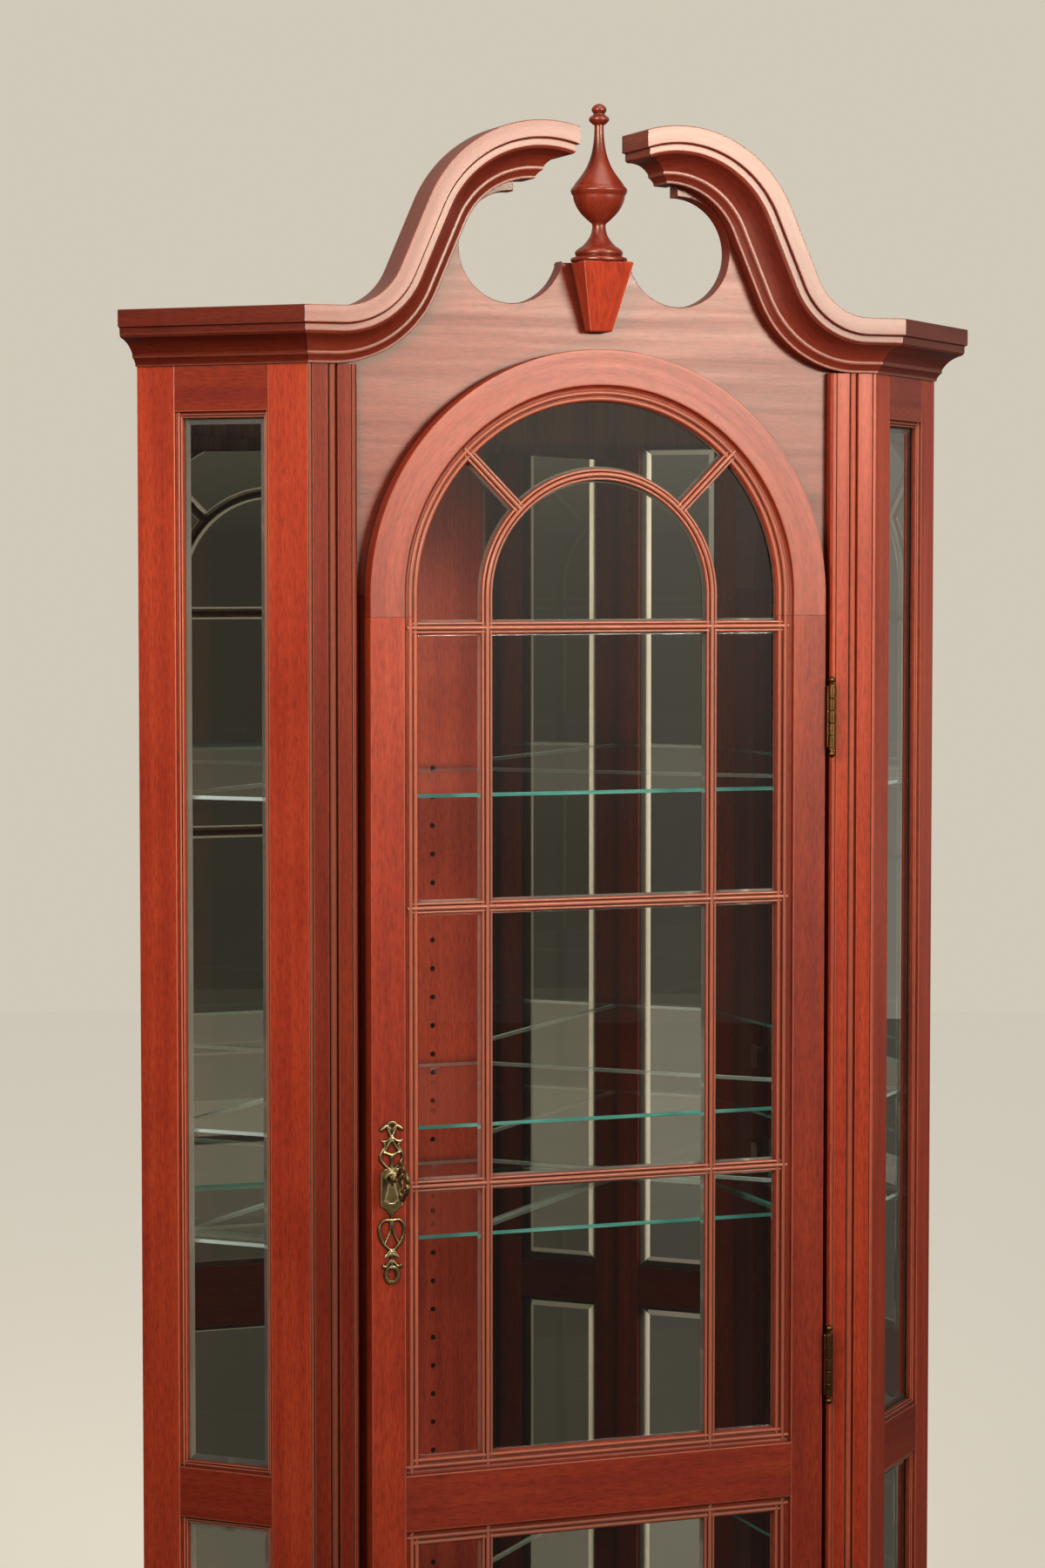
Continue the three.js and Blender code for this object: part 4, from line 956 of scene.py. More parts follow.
class BuildSides(bpy.types.Operator):
    """Frame the canted sides and set their bevelled glass"""
    bl_idname = "curio.build_sides"
    bl_label = "Canted sides"

    def execute(self, context):
        case = context.scene.curio_case
        low, high = case.plinth + SEAT, case.cornice - SEAT
        rails = {
            "top": (high, case.side_top, False, True),
            "mid": (case.side_middle, case.side_middle - case.side_middle_rail, True, True),
            "bottom": (low + case.side_bottom_rail, low, True, False),
        }
        front = [Vector((max(a, SEAT + b * MITRE), b)) for a, b in member(case.side_front, SIDE_EDGE)]
        back = [Vector((case.side - a, b)) for a, b in member(case.side_back, SIDE_EDGE)]
        start, end = case.side_front + SEAT, case.side - case.side_back - SEAT
        for name, hand in HANDS:
            matrix = side_frame(hand)
            for key, section in (("front", front), ("back", back)):
                piece = upright(f"side_{key}_stile_{name}", section, low, high, matrix)
                dress(piece, cherry_lacquer(), "cherry", "cabinet", f"side_stile_{key}_{name}")
            for key, rail in rails.items():
                piece = level(f"side_{key}_rail_{name}", rail_section(*rail, SIDE_EDGE), start, end, matrix)
                red = cherry_lacquer("cherry_red", 0.62)
                dress(piece, red, "cherry", "cabinet", f"side_rail_{key}_{name}")
            for key in ("upper", "lower"):
                self.pane(key, name, hand, matrix @ STANDING)
        return {"FINISHED"}

    @staticmethod
    def pane(key, name, hand, matrix):
        """A bevelled pane, as large as the CAD pane that it stands for"""
        node = f"side_glass_{key}_{name}"
        points = [matrix.inverted() @ vertex.co for vertex in frame["nodes"][node].data.vertices]
        left, base, face = (min(point[at] for point in points) for at in range(3))
        right, head, rear = (max(point[at] for point in points) for at in range(3))
        piece = plate(f"side_pane_{key}_{name}", [rectangle(left, base, right, head)], face, rear, 0, matrix,
                      bevel=SIDE_BEVEL, bare="high")
        dress(piece, clear_glass("bevelled_pane", (0.97, 0.985, 0.98)), "bevelled_glass", "cabinet", node)
        show_bevels(piece, Vector((-hand * TURN, TURN, 0)), Vector((-TURN, -hand * TURN, 0)))


class BuildFace(bpy.types.Operator):
    """Set the reeded pilasters before the face frame"""
    bl_idname = "curio.build_face"
    bl_label = "Pilasters and face frame"

    def execute(self, context):
        case, door = context.scene.curio_case, context.scene.curio_door
        inner, outer = case.front - case.pilaster, case.front - SEAT
        middle = (inner + case.front) / 2
        arris, groove, bead = 0.0026, 0.0016, 0.0035
        front = case.proud + SEAT
        back = front + case.face

        def quirk(at):
            """A small groove beside a bead"""
            return [(at, 0), (at + groove / 2, groove), (at + groove, 0)]

        pilaster = [
            (inner, case.proud), (inner, arris), (inner + arris, 0), *quirk(inner + 2 * arris),
            (middle - bead - groove, 0), *arc(middle, bead, bead, math.pi, 2 * math.pi, 10),
            (middle + bead + groove, 0), *quirk(outer - arris - groove), (outer, 0),
            (outer - case.proud * MITRE, case.proud)]
        stile = [
            (case.opening, front), (outer - front * MITRE, front), (outer - back * MITRE, back),
            (case.opening, back)]
        for name, hand in HANDS:
            for kind, points, top, node in (
                    ("reeded_pilaster", pilaster, case.cornice - case.cornice_drop - SEAT, "pilaster"),
                    ("face_frame_stile", stile, door.centre - SEAT, "face_stile")):
                section = [Vector((point[0] * hand, point[1])) for point in eased(points, THIN_EASE)]
                piece = upright(f"{kind}_{name}", section, case.plinth + SEAT, top)
                wood = cherry_lacquer() if hand > 0 else cherry_lacquer("cherry_dark", 0.5, 0.36, 0.12, 0.42)
                dress(piece, wood, "cherry", "cabinet", f"{node}_{name}")
        return {"FINISHED"}


class BuildCornice(bpy.types.Operator):
    """Run the cornice along the sides and up the swan necks"""
    bl_idname = "curio.build_cornice"
    bl_label = "Cornice and swan necks"

    def execute(self, context):
        case = context.scene.curio_case
        crown = crown_section()
        board_back = case.proud + SEAT + case.face
        lines = [neck_line(drop) for _, drop in crown]
        bend_steps = 6
        for name, hand in HANDS:
            corner = case.front - SEAT
            rings = [[
                Vector((corner + (out - case.proud) * MITRE, case.proud - out, case.cornice - drop))
                for out, drop in crown]]
            for spots in zip(*lines):
                rings.append([
                    Vector((spot.x, case.proud - out, spot.y)) for spot, (out, _) in zip(spots, crown)])
            for step in range(1, bend_steps + 1):
                share = step / bend_steps
                rings.append([self.bent(out, drop, share, case.proud - out) for out, drop in crown])
            rings.append([self.bent(out, drop, 1, board_back) for out, drop in crown])
            piece = sweep(f"swan_neck_moulding_{name}", crown, flipped(hand, rings))
            neck_wood = cherry_lacquer("cherry_neck", 0.5, 0.34, 0.7)
            dress(piece, neck_wood, "cherry", "cabinet", f"swan_neck_{name}")
            ahead = [max(out - case.proud, SEAT) for out, _ in crown]
            ends = [[
                Vector((SEAT - a * MITRE if side == 0 else case.side, -a, case.cornice - drop))
                for a, (_, drop) in zip(ahead, crown)] for side in (0, 1)]
            piece = sweep(f"side_cornice_moulding_{name}", crown, ends, side_frame(hand))
            # Painted shade: the side cornices get a much darker copy of the cherry, for the shade on their
            # canted faces
            side_wood = cherry_lacquer("cherry_cornice_painted_shade", 0.32)
            dress(piece, side_wood, "cherry", "cabinet", f"side_cornice_{name}")
        return {"FINISHED"}

    @staticmethod
    def bent(out, drop, share, y):
        """A point of the crest past its centre, on its way to the mitre beside the finial"""
        case, neck = bpy.context.scene.curio_case, bpy.context.scene.curio_pediment
        x = neck.centre + (neck.end - out - neck.centre) * share
        rise = math.sqrt((neck.radius - drop) ** 2 - (neck.centre - x) ** 2)
        return Vector((x, y, case.cornice + neck.rise + rise))


class BuildPediment(bpy.types.Operator):
    """Cut the pediment board, and set the keystone and the finial on it"""
    bl_idname = "curio.build_pediment"
    bl_label = "Pediment"

    def execute(self, context):
        case, neck = context.scene.curio_case, context.scene.curio_pediment
        front = case.proud + SEAT
        back = front + case.face
        seat = case.cornice + neck.seat
        piece = plate("pediment_board", [self.outline(back, seat)], front, back, case.ease)
        board_wood = cherry_lacquer("cherry_board", 0.5, 0.32, 0.42)
        dress(piece, board_wood, "cherry", "cabinet", "tympanum")

        narrow, wide, shallow, deep, chamfer = 0.0118, 0.0268, 0.0033, 0.0232, 0.0012
        rings = []
        for share, shrink in ((0, chamfer), (0.02, 0), (0.98, 0), (1, chamfer)):
            half = narrow + (wide - narrow) * share - shrink
            ahead = shallow + (deep - shallow) * share - shrink
            corners = eased(rectangle(-half, -ahead, half, case.proud), 0.0014)
            rings.append([Vector((x, y, seat - neck.keystone * (1 - share))) for x, y in corners])
        piece = sweep("keystone_block", [(point.x, point.y) for point in rings[-1]], rings)
        dress(piece, cherry_lacquer(), "cherry", "cabinet", "keystone")

        profile = [(neck.finial * up, neck.finial_radius * out) for up, out in self.finial()]
        place = Vector((0, FRONT + (back - deep) / 2, seat + SEAT))
        piece = turned("turned_finial", profile, place, "z", 72, math.radians(50))
        dress(piece, cherry_lacquer("cherry_turned", 0.55, 0.26, 0.6), "cherry", "cabinet", "finial")
        return {"FINISHED"}

    @staticmethod
    def outline(back, seat):
        """The board's outline, with its round cut-outs open at the top and the door's arch below"""
        scene = bpy.context.scene
        case, neck, door = scene.curio_case, scene.curio_pediment, scene.curio_door
        lap, ear, reach = 0.007, neck.end + 0.003, 0.9744
        # A cut-out meets the finial's seat at that reach, a share of its radius, towards the middle
        outer = case.front - SEAT - back * MITRE
        start = math.pi + math.acos(reach)
        end = 2 * math.pi + math.acos((ear - neck.hole_x) / neck.hole)
        crest = neck_line(lap)[::-1]
        half = [
            Vector((neck.hole_x - neck.hole * reach, seat)),
            *arc(neck.hole_x, case.cornice + neck.hole_rise, neck.hole, start, end, 56),
            Vector((ear, crest[0].y)), *[point for point in crest if ear < point.x < outer],
            Vector((outer, case.cornice - lap)), Vector((outer, door.centre)),
            Vector((case.opening, door.centre))]
        arch = arc(0, door.centre, case.opening, 0, math.pi, 72)[1:-1]
        return [*half, *arch, *mirrored(half)]

    @staticmethod
    def finial():
        """The finial's profile as shares of its height and of its radius, from its foot up"""
        groups = (
            [(0, 0), (0, 0.93)], smooth([(0.004, 0.985), (0.014, 1.0), (0.026, 0.98), (0.034, 0.86)], 4),
            [(0.04, 0.81)], smooth([(0.05, 0.84), (0.065, 0.845), (0.078, 0.79)], 4),
            smooth([(0.085, 0.74), (0.105, 0.58), (0.135, 0.43), (0.165, 0.32), (0.19, 0.27), (0.225, 0.235),
                    (0.243, 0.25)]),
            smooth([(0.252, 0.30), (0.27, 0.42), (0.31, 0.64), (0.35, 0.79), (0.39, 0.885), (0.422, 0.92)]),
            smooth([(0.428, 0.95), (0.45, 1.0), (0.472, 0.95)], 6),
            smooth([(0.478, 0.90), (0.5, 0.83), (0.56, 0.58), (0.615, 0.405), (0.69, 0.262), (0.775, 0.185),
                    (0.845, 0.165), (0.865, 0.17)]),
            smooth([(0.872, 0.24), (0.893, 0.35), (0.912, 0.34), (0.928, 0.22)]),
            smooth([(0.938, 0.195), (0.952, 0.25), (0.968, 0.262), (0.986, 0.19), (0.997, 0.08), (1.0, 0.0)]),
        )
        return [point for group in groups for point in group]


class BuildBase(bpy.types.Operator):
    """Cut the bracket feet and run the base moulding over them"""
    bl_idname = "curio.build_base"
    bl_label = "Base"

    def execute(self, context):
        case = context.scene.curio_case
        out, inner, near = 0.012, 0.006, 0.003
        base = base_section()
        corner = case.front + out * MITRE - SEAT

        def mitred(point, first, last):
            """Moves the ends of a board back with its depth, to the mitre"""
            x, z, y = point
            slant = (y + out) * MITRE
            if last is not None and x > last - near:
                x -= slant
            if first is not None and x < first + near:
                x += slant
            return Vector((x, z, y))

        outline = self.bracket(-corner, corner, case.foot)
        piece = plate("front_bracket_feet", [outline], -out, inner, BOARD_EASE,
                      tilt=lambda point: mitred(point, -corner, corner))
        dress(piece, cherry_lacquer(), "cherry", "cabinet", "plinth_front")
        rings = [[
            Vector((hand * (case.front + a * MITRE - SEAT), -a, z)) for a, z in base] for hand in (-1, 1)]
        piece = sweep("front_base_moulding", base, rings)
        dress(piece, cherry_lacquer(), "cherry", "cabinet", "plinth_front")
        start = SEAT - out * MITRE
        side_foot = case.side * 0.33
        outline = self.bracket(start, case.side, side_foot)
        rings = [[Vector((x, -a, z)) for x, (a, z) in zip(ends, base)] for ends in (
            [SEAT - a * MITRE for a, _ in base], [case.side] * len(base))]
        for name, hand in HANDS:
            matrix = side_frame(hand)
            piece = plate(f"side_bracket_feet_{name}", [outline], -out, inner, BOARD_EASE, matrix @ STANDING,
                          tilt=lambda point: mitred(point, start, None))
            dress(piece, cherry_lacquer(), "cherry", "cabinet", f"plinth_{name}")
            piece = sweep(f"side_base_moulding_{name}", base, rings, matrix)
            dress(piece, cherry_lacquer(), "cherry", "cabinet", f"plinth_{name}")
        low, high = local_box("rear_foot")
        foot = eased(rectangle(low.x, low.y, high.x, high.y), case.ease)
        piece = upright("rear_foot_block", foot, low.z, high.z)
        plain = cherry_lacquer("cherry_plain", 0.6, 0.6, 0.1)
        dress(piece, plain, "back_panel_wood", "cabinet", "rear_foot")
        return {"FINISHED"}

    @staticmethod
    def bracket(first, last, foot):
        """The board's outline: two feet with a shaped inner edge and the space between them"""
        case = bpy.context.scene.curio_case
        curl = 0.0031

        def edge(start, hand):
            """The shaped inner edge of one foot, from the floor up"""
            shape = [(0.6, 0), *smooth([(0.6, 0.03), (0.66, 0.35), (0.84, 0.62), (1, 0.7)], 6), (1, 0.97)]
            points = [Vector((start + hand * foot * a, case.foot_arch * b)) for a, b in shape]
            return points + [Vector((start + hand * (foot + curl), case.foot_arch))]

        return [Vector((first, 0)), *edge(first, 1), *edge(last, -1)[::-1], Vector((last, 0)),
                Vector((last, case.plinth)), Vector((first, case.plinth))]


class BuildInside(bpy.types.Operator):
    """Fit the deck, the top, the back board with its pin holes, the back panels and the mirrors"""
    bl_idname = "curio.build_inside"
    bl_label = "Inside"

    def execute(self, context):
        self.back_board()
        plain = cherry_lacquer("cherry_plain", 0.6, 0.6, 0.1)
        for node, name, finish, slot in (
                ("bottom_deck", "inside_deck", cherry_lacquer("cherry_inside", 1.1, 0.4), "cherry"),
                ("dust_top", "inside_top", plain, "back_panel_wood")):
            low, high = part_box(node)
            piece = plate(name, [self.plan(node)], low.z, high.z, BOARD_EASE, PLAN)
            dress(piece, finish, slot, "cabinet", node)
        for name, _ in HANDS:
            for node, material in ((f"back_panel_{name}", panel_wood()), (f"mirror_{name}", mirror_silver())):
                part = frame["nodes"][node]
                part.data.materials.clear()
                part.data.materials.append(material)
        return {"FINISHED"}

    @staticmethod
    def back_board():
        """The narrow board in the corner: a drilled front layer over a plain one"""
        case = bpy.context.scene.curio_case
        low, high = local_box("back_board")
        first, count, radius = case.deck + 0.096, 34, 0.0029
        deep, joint, ease = 0.006, 0.0001, 0.0004
        holes = [circle(0, first + case.pin_pitch * row, radius, 16) for row in range(count)]
        board = rectangle(low.x, low.z, high.x, high.z)
        pieces = [
            plate("board_front", [board, *holes], low.y, low.y + deep, ease, FACE, True),
            plate("board_rear", [board], low.y + deep + joint, high.y, ease, FACE, True)]
        # Painted light: the back board gets a brighter copy of the cherry, for the light that reaches the
        # inside of the case
        wood = cherry_lacquer("cherry_back_painted_light", 1.6, 0.35)
        dress(joined("pin_hole_board", pieces), wood, "cherry", "cabinet", "back_board")

    @staticmethod
    def plan(node):
        """The plan outline of a CAD board, read off its lower face"""
        vertices = [vertex.co for vertex in frame["nodes"][node].data.vertices]
        bottom = min(point.z for point in vertices)
        corners = {(round(p.x, 5), round(p.y - FRONT, 5)) for p in vertices if p.z < bottom + 1e-4}
        middle = sum(y for _, y in corners) / len(corners)
        return sorted((Vector(corner) for corner in corners),
                      key=lambda corner: math.atan2(corner.y - middle, corner.x))


class BuildShelves(bpy.types.Operator):
    """Lay the glass shelves on their clear clips"""
    bl_idname = "curio.build_shelves"
    bl_label = "Shelves"

    # How far the inner face of a side, a back panel's inner face and a mirror's face stand from their lines
    SIDE_FACE = 0.0203
    PANEL_FACE = 0.008
    MIRROR_FACE = 0.0046

    def execute(self, context):
        case = context.scene.curio_case
        sheet = clear_glass("shelf_sheet", (0.955, 0.985, 0.972))
        clear = clear_glass("clear_clip", (0.9, 0.92, 0.92), 0.12, 1.9)
        outline = self.plan(case)
        for number in range(1, 5):
            node = f"glass_shelf_{number}"
            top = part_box(node)[1].z
            piece = plate(
                f"shelf_{number}", [outline], top - case.shelf, top, THIN_EASE, PLAN, bare="low")
            dress(piece, sheet, "shelf_glass", "cabinet", node)
            piece.data.materials.append(polished_edge())
            piece.data.materials.append(polished_edge("polished_rear_edge", REAR_EDGE_TONES))
            for face in piece.data.polygons:
                edge = abs(face.normal.z) < 0.6
                face.material_index = (1 if face.normal.y < -0.9 else 2) if edge else 0
            clips = self.clips(case, top)
            dress(joined(f"shelf_{number}_clips", clips), clear, "shelf_glass", "cabinet", node)
        return {"FINISHED"}

    @classmethod
    def plan(cls, case):
        """The shelf's outline, clear of the sides, the mirrors and the back board"""
        gap, front, board, corner = 0.002, 0.05, 0.06, 0.0603
        side = case.front - (cls.SIDE_FACE + gap) / TURN
        panel = case.front + 2 * case.side * TURN - cls.PANEL_FACE / TURN
        total = panel - (cls.MIRROR_FACE + gap) / TURN
        back = panel - board - gap
        half = [Vector((front + side, front)), Vector(((total + side) / 2, (total - side) / 2)),
                Vector((min(total - back, corner), back))]
        return eased(half + mirrored(half), 0.003, 4)

    @classmethod
    def clips(cls, case, top):
        """Five clear clips under a shelf: a tongue and a lip each, and a pin in the back board"""
        board = local_box("back_board")[0].y
        half, deep, neck, tip = 0.0055, 0.008, 0.0035, 0.011
        shape = [(-half, 0), (half, 0), (half, -deep), (neck, -tip), (-neck, -tip), (-half, -deep)]
        # Each part's outline, how far its foot and its top lie under the shelf's top, and its easing
        parts = (
            ("tongue", eased(shape, 0.0015, 4), 0.0081, 0.0043, THIN_EASE),
            ("lip", eased(rectangle(-0.0045, 0, 0.0045, -0.0022), 0.0008), 0.014, 0.0078, 0.0004))
        spots = [(Vector((0, board - SEAT)), 0.0)]
        for along in (0.0546, case.side - case.side_back):
            x, y = case.front + (along - cls.SIDE_FACE) * TURN, (along + cls.SIDE_FACE) * TURN
            spots += [(Vector((x, y)), -math.pi * 0.75), (Vector((-x, y)), math.pi * 0.75)]
        clips = []
        for at, (spot, turn) in enumerate(spots):
            matrix = PLAN @ Matrix.Translation((*spot, 0)) @ Matrix.Rotation(turn, 4, "Z")
            for kind, outline, foot, head, ease in parts:
                clips.append(plate(f"{kind}_{at}", [outline], top - foot, top - head, ease, matrix))
        radius, reach = 0.0024, 0.006
        profile = [(0, 0), (0, radius), (reach - 0.0005, radius), (reach, radius - 0.0006), (reach, 0)]
        clips.append(turned("pin", profile, Vector((0, FRONT + board - 0.001, top - 0.0063)), "y", 16))
        return clips


class BuildDoor(bpy.types.Operator):
    """Frame the arched door and set its glass"""
    bl_idname = "curio.build_door"
    bl_label = "Door frame"

    def execute(self, context):
        door = context.scene.curio_door
        section = [Vector((a, b - door.face)) for a, b in member(door.stile, door_edge())]
        joint = door.centre - door.joint
        wood = cherry_lacquer("cherry_door", 0.95, 0.32, 0.24, 0.22)
        # Painted shade: the hinge stile and the cross rails get a darker copy of the door's wood than the
        # lock stile, for the shade away from the light and lower down
        red = cherry_lacquer("cherry_door_painted_shade", 0.72, 0.34, 0.3, 0.22)
        for name, hand in (("hinge", 1), ("lock", -1)):
            stile = [Vector((hand * (door.half - a), b)) for a, b in section]
            piece = upright(f"door_{name}_side_stile", stile, door.bottom, joint - SEAT / 2)
            dress(piece, red if hand > 0 else wood, "cherry", "door", f"door_stile_{name}")
        first, last = (
            [Vector((hand * (door.half - a), b, joint + SEAT / 2)) for a, b in section] for hand in (1, -1))
        rings = [first, *arch_rings([(-a, b) for a, b in section], door.half, 96), last]
        bent = cherry_lacquer("cherry_arch", 0.8, 0.33, 0.4, 0.22)
        dress(sweep("door_arched_rail", section, rings), bent, "cherry", "door", "door_arch_rail")
        half = door.half - door.stile - SEAT
        for key, top, bottom, below in (
                ("mid", door.middle, door.middle - door.middle_rail, True),
                ("bottom", door.bottom + door.bottom_rail, door.bottom, False)):
            rail = rail_section(top, bottom, True, below, door_edge())
            rail = [Vector((a, b - door.face)) for a, b in rail]
            piece = level(f"door_{key}_cross_rail", rail, -half, half)
            dress(piece, red, "cherry", "door", f"door_{key}_rail")
        pane = clear_glass("door_pane", (0.975, 0.985, 0.98))
        for key in ("upper", "lower"):
            node = f"door_glass_{key}"
            low, high = local_box(node)
            panes = [plate(f"pane_{at}", [loop], low.y, high.y, 0, bevel=DOOR_BEVEL, bare="high")
                     for at, loop in enumerate(self.panes(low, high, key == "upper"))]
            piece = joined(f"door_panes_{key}", panes, BEVEL_SHARP)
            dress(piece, pane, "door_glass", "door", node)
            show_bevels(piece, Vector((0, 1, 0)))
        return {"FINISHED"}

    @staticmethod
    def panes(low, high, arched):
        """The outline of each pane, up to a hair from the middle of the bars that cover the joints"""
        door = bpy.context.scene.curio_door
        gap = 0.0015
        wide, bar = high.x, door.bar_x
        rows = [low.z, high.z]
        if arched:
            first, pitch = glazing_rows()
            rows = [low.z, first - 2 * pitch, first - pitch, first]
        loops = []
        for bottom, top in zip(rows, rows[1:]):
            base = bottom + (gap if bottom != low.z else 0)
            head = top - (gap if arched else 0)
            for left, right in ((-wide, -bar - gap), (gap - bar, bar - gap), (bar + gap, wide)):
                loops.append(rectangle(left, base, right, head))
        if not arched:
            return loops
        base, centre = rows[-1] + gap, door.centre
        outer, inner = math.asin(gap / wide), math.asin(gap / (bar + gap))
        spoke = math.pi / 4
        loops.append([(gap - bar, base), (bar - gap, base), *arc(0, centre, bar - gap, 0, math.pi, 40)])
        side = [Vector((bar + gap, base)), Vector((wide, base)), *arc(0, centre, wide, 0, spoke - outer, 16),
                *arc(0, centre, bar + gap, 0, spoke - inner, 12)[::-1]]
        loops += [side, mirrored(side)]
        loops.append([*arc(0, centre, wide, spoke + outer, math.pi - spoke - outer, 32),
                      *arc(0, centre, bar + gap, spoke + inner, math.pi - spoke - inner, 24)[::-1]])
        return loops


class BuildBars(bpy.types.Operator):
    """Fit the reeded glazing bars"""
    bl_idname = "curio.build_bars"
    bl_label = "Glazing bars"

    def execute(self, context):
        door = context.scene.curio_door
        bar = reeded_bar()
        lap, behind, short = 0.001, 0.0002, 0.004
        reach = door.half - door.stile - short
        uprights = {hand: [Vector((hand * door.bar_x + a, b)) for a, b in bar] for hand in (-1, 1)}
        pieces = [upright(f"upright_{hand}", section, door.middle - lap, door.centre)
                  for hand, section in uprights.items()]
        first, pitch = glazing_rows()
        for at in range(3):
            cross = [Vector((first - at * pitch + a, b + behind)) for a, b in bar]
            pieces.append(level(f"cross_{at}", cross, -reach, reach))
        pieces.append(sweep("inner_arch", bar, arch_rings(bar, door.bar_x, 64)))
        slant = math.sqrt(0.5)
        for hand in (-1, 1):
            rings = [[
                Vector((hand * slant * (run + a), b, door.centre + slant * (run - a))) for a, b in bar]
                for run in (door.bar_x, reach)]
            pieces.append(sweep(f"spoke_{hand}", bar, rings))
        wood = cherry_lacquer("cherry_bars", 0.74, 0.28, 0.55, 0.24)
        dress(joined("upper_glazing_bars", pieces), wood, "cherry", "door", "upper_grille")
        low, high = door.bottom + door.bottom_rail + lap, door.middle - door.middle_rail - lap
        for name, hand in HANDS:
            piece = upright(f"lower_glazing_bar_{name}", uprights[hand], low, high)
            dress(piece, wood, "cherry", "door", f"lower_muntin_{name}")
        return {"FINISHED"}


class BuildHinges(bpy.types.Operator):
    """Hang the door on butt hinges with ball tips"""
    bl_idname = "curio.build_hinges"
    bl_label = "Hinges"

    # Half the height of a leaf, its thickness, the radius of a knuckle and the place of the pins
    HALF = 0.0315
    LEAF = 0.0016
    KNUCKLE = 0.0041
    AXIS = (0.2477, -0.0134)

    def execute(self, context):
        case, door = context.scene.curio_case, context.scene.curio_door
        metal = aged_brass("dark_brass", (0.62, 0.4, 0.3))
        edge_on = Matrix(((0, 0, 1, 0), (1, 0, 0, FRONT), (0, 1, 0, 0), (0, 0, 0, 1)))
        stile = case.front - case.pilaster - SEAT
        for number in (1, 2, 3):
            low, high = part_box(f"hinge_leaf_door_{number}")
            middle = (low.z + high.z) / 2
            for key, body, left, deep, first in (
                    ("door", "door", door.half + SEAT, door.thick - door.face, 0),
                    ("frame", "cabinet", stile - self.LEAF, case.proud, 1)):
                outline = eased(rectangle(self.AXIS[1], middle - self.HALF, deep, middle + self.HALF), 0.002)
                pieces = [plate("leaf", [outline], left, left + self.LEAF, 0.0003, edge_on)]
                pieces += [self.knuckle(middle, at) for at in range(first, 5, 2)]
                if key == "frame":
                    pieces.append(self.pin(middle))
                piece = joined(f"hinge_{number}_{key}_leaf", pieces)
                dress(piece, metal, "antique_brass", body, f"hinge_leaf_{key}_{number}")
        return {"FINISHED"}

    @classmethod
    def on_axis(cls, name, profile):
        """A turned piece on the hinge's axis"""
        return turned(name, profile, Vector((cls.AXIS[0], FRONT + cls.AXIS[1], 0)), "z", 28)

    @classmethod
    def knuckle(cls, middle, at):
        """One of the five knuckles, a hollow ring with softened ends"""
        gap, soft, bore = 0.0002, 0.0006, 0.0022
        start = middle - cls.HALF + at * cls.HALF * 2 / 5 + gap
        end = start + cls.HALF * 2 / 5 - 2 * gap
        shoulder = cls.KNUCKLE - 0.0005
        return cls.on_axis(f"knuckle_{at}", [
            (start, bore), (start, shoulder), (start + soft, cls.KNUCKLE), (end - soft, cls.KNUCKLE),
            (end, shoulder), (end, bore), (start, bore)])

    @classmethod
    def pin(cls, middle):
        """The pin with a turned collar and a ball at each end"""
        ball = 0.0036
        turns = [math.pi * (0.22 + 0.78 * step / 12) for step in range(13)]
        tip = [(0.0002, 0.0019), (0.0002, 0.0034), (0.0012, 0.0034), (0.0018, 0.0022),
               *[(0.006 - ball * math.cos(turn), ball * math.sin(turn)) for turn in turns]]
        upper = [(middle + cls.HALF + z, radius) for z, radius in tip]
        lower = [(middle - cls.HALF - z, radius) for z, radius in tip[::-1]]
        return cls.on_axis("pin", lower + upper)


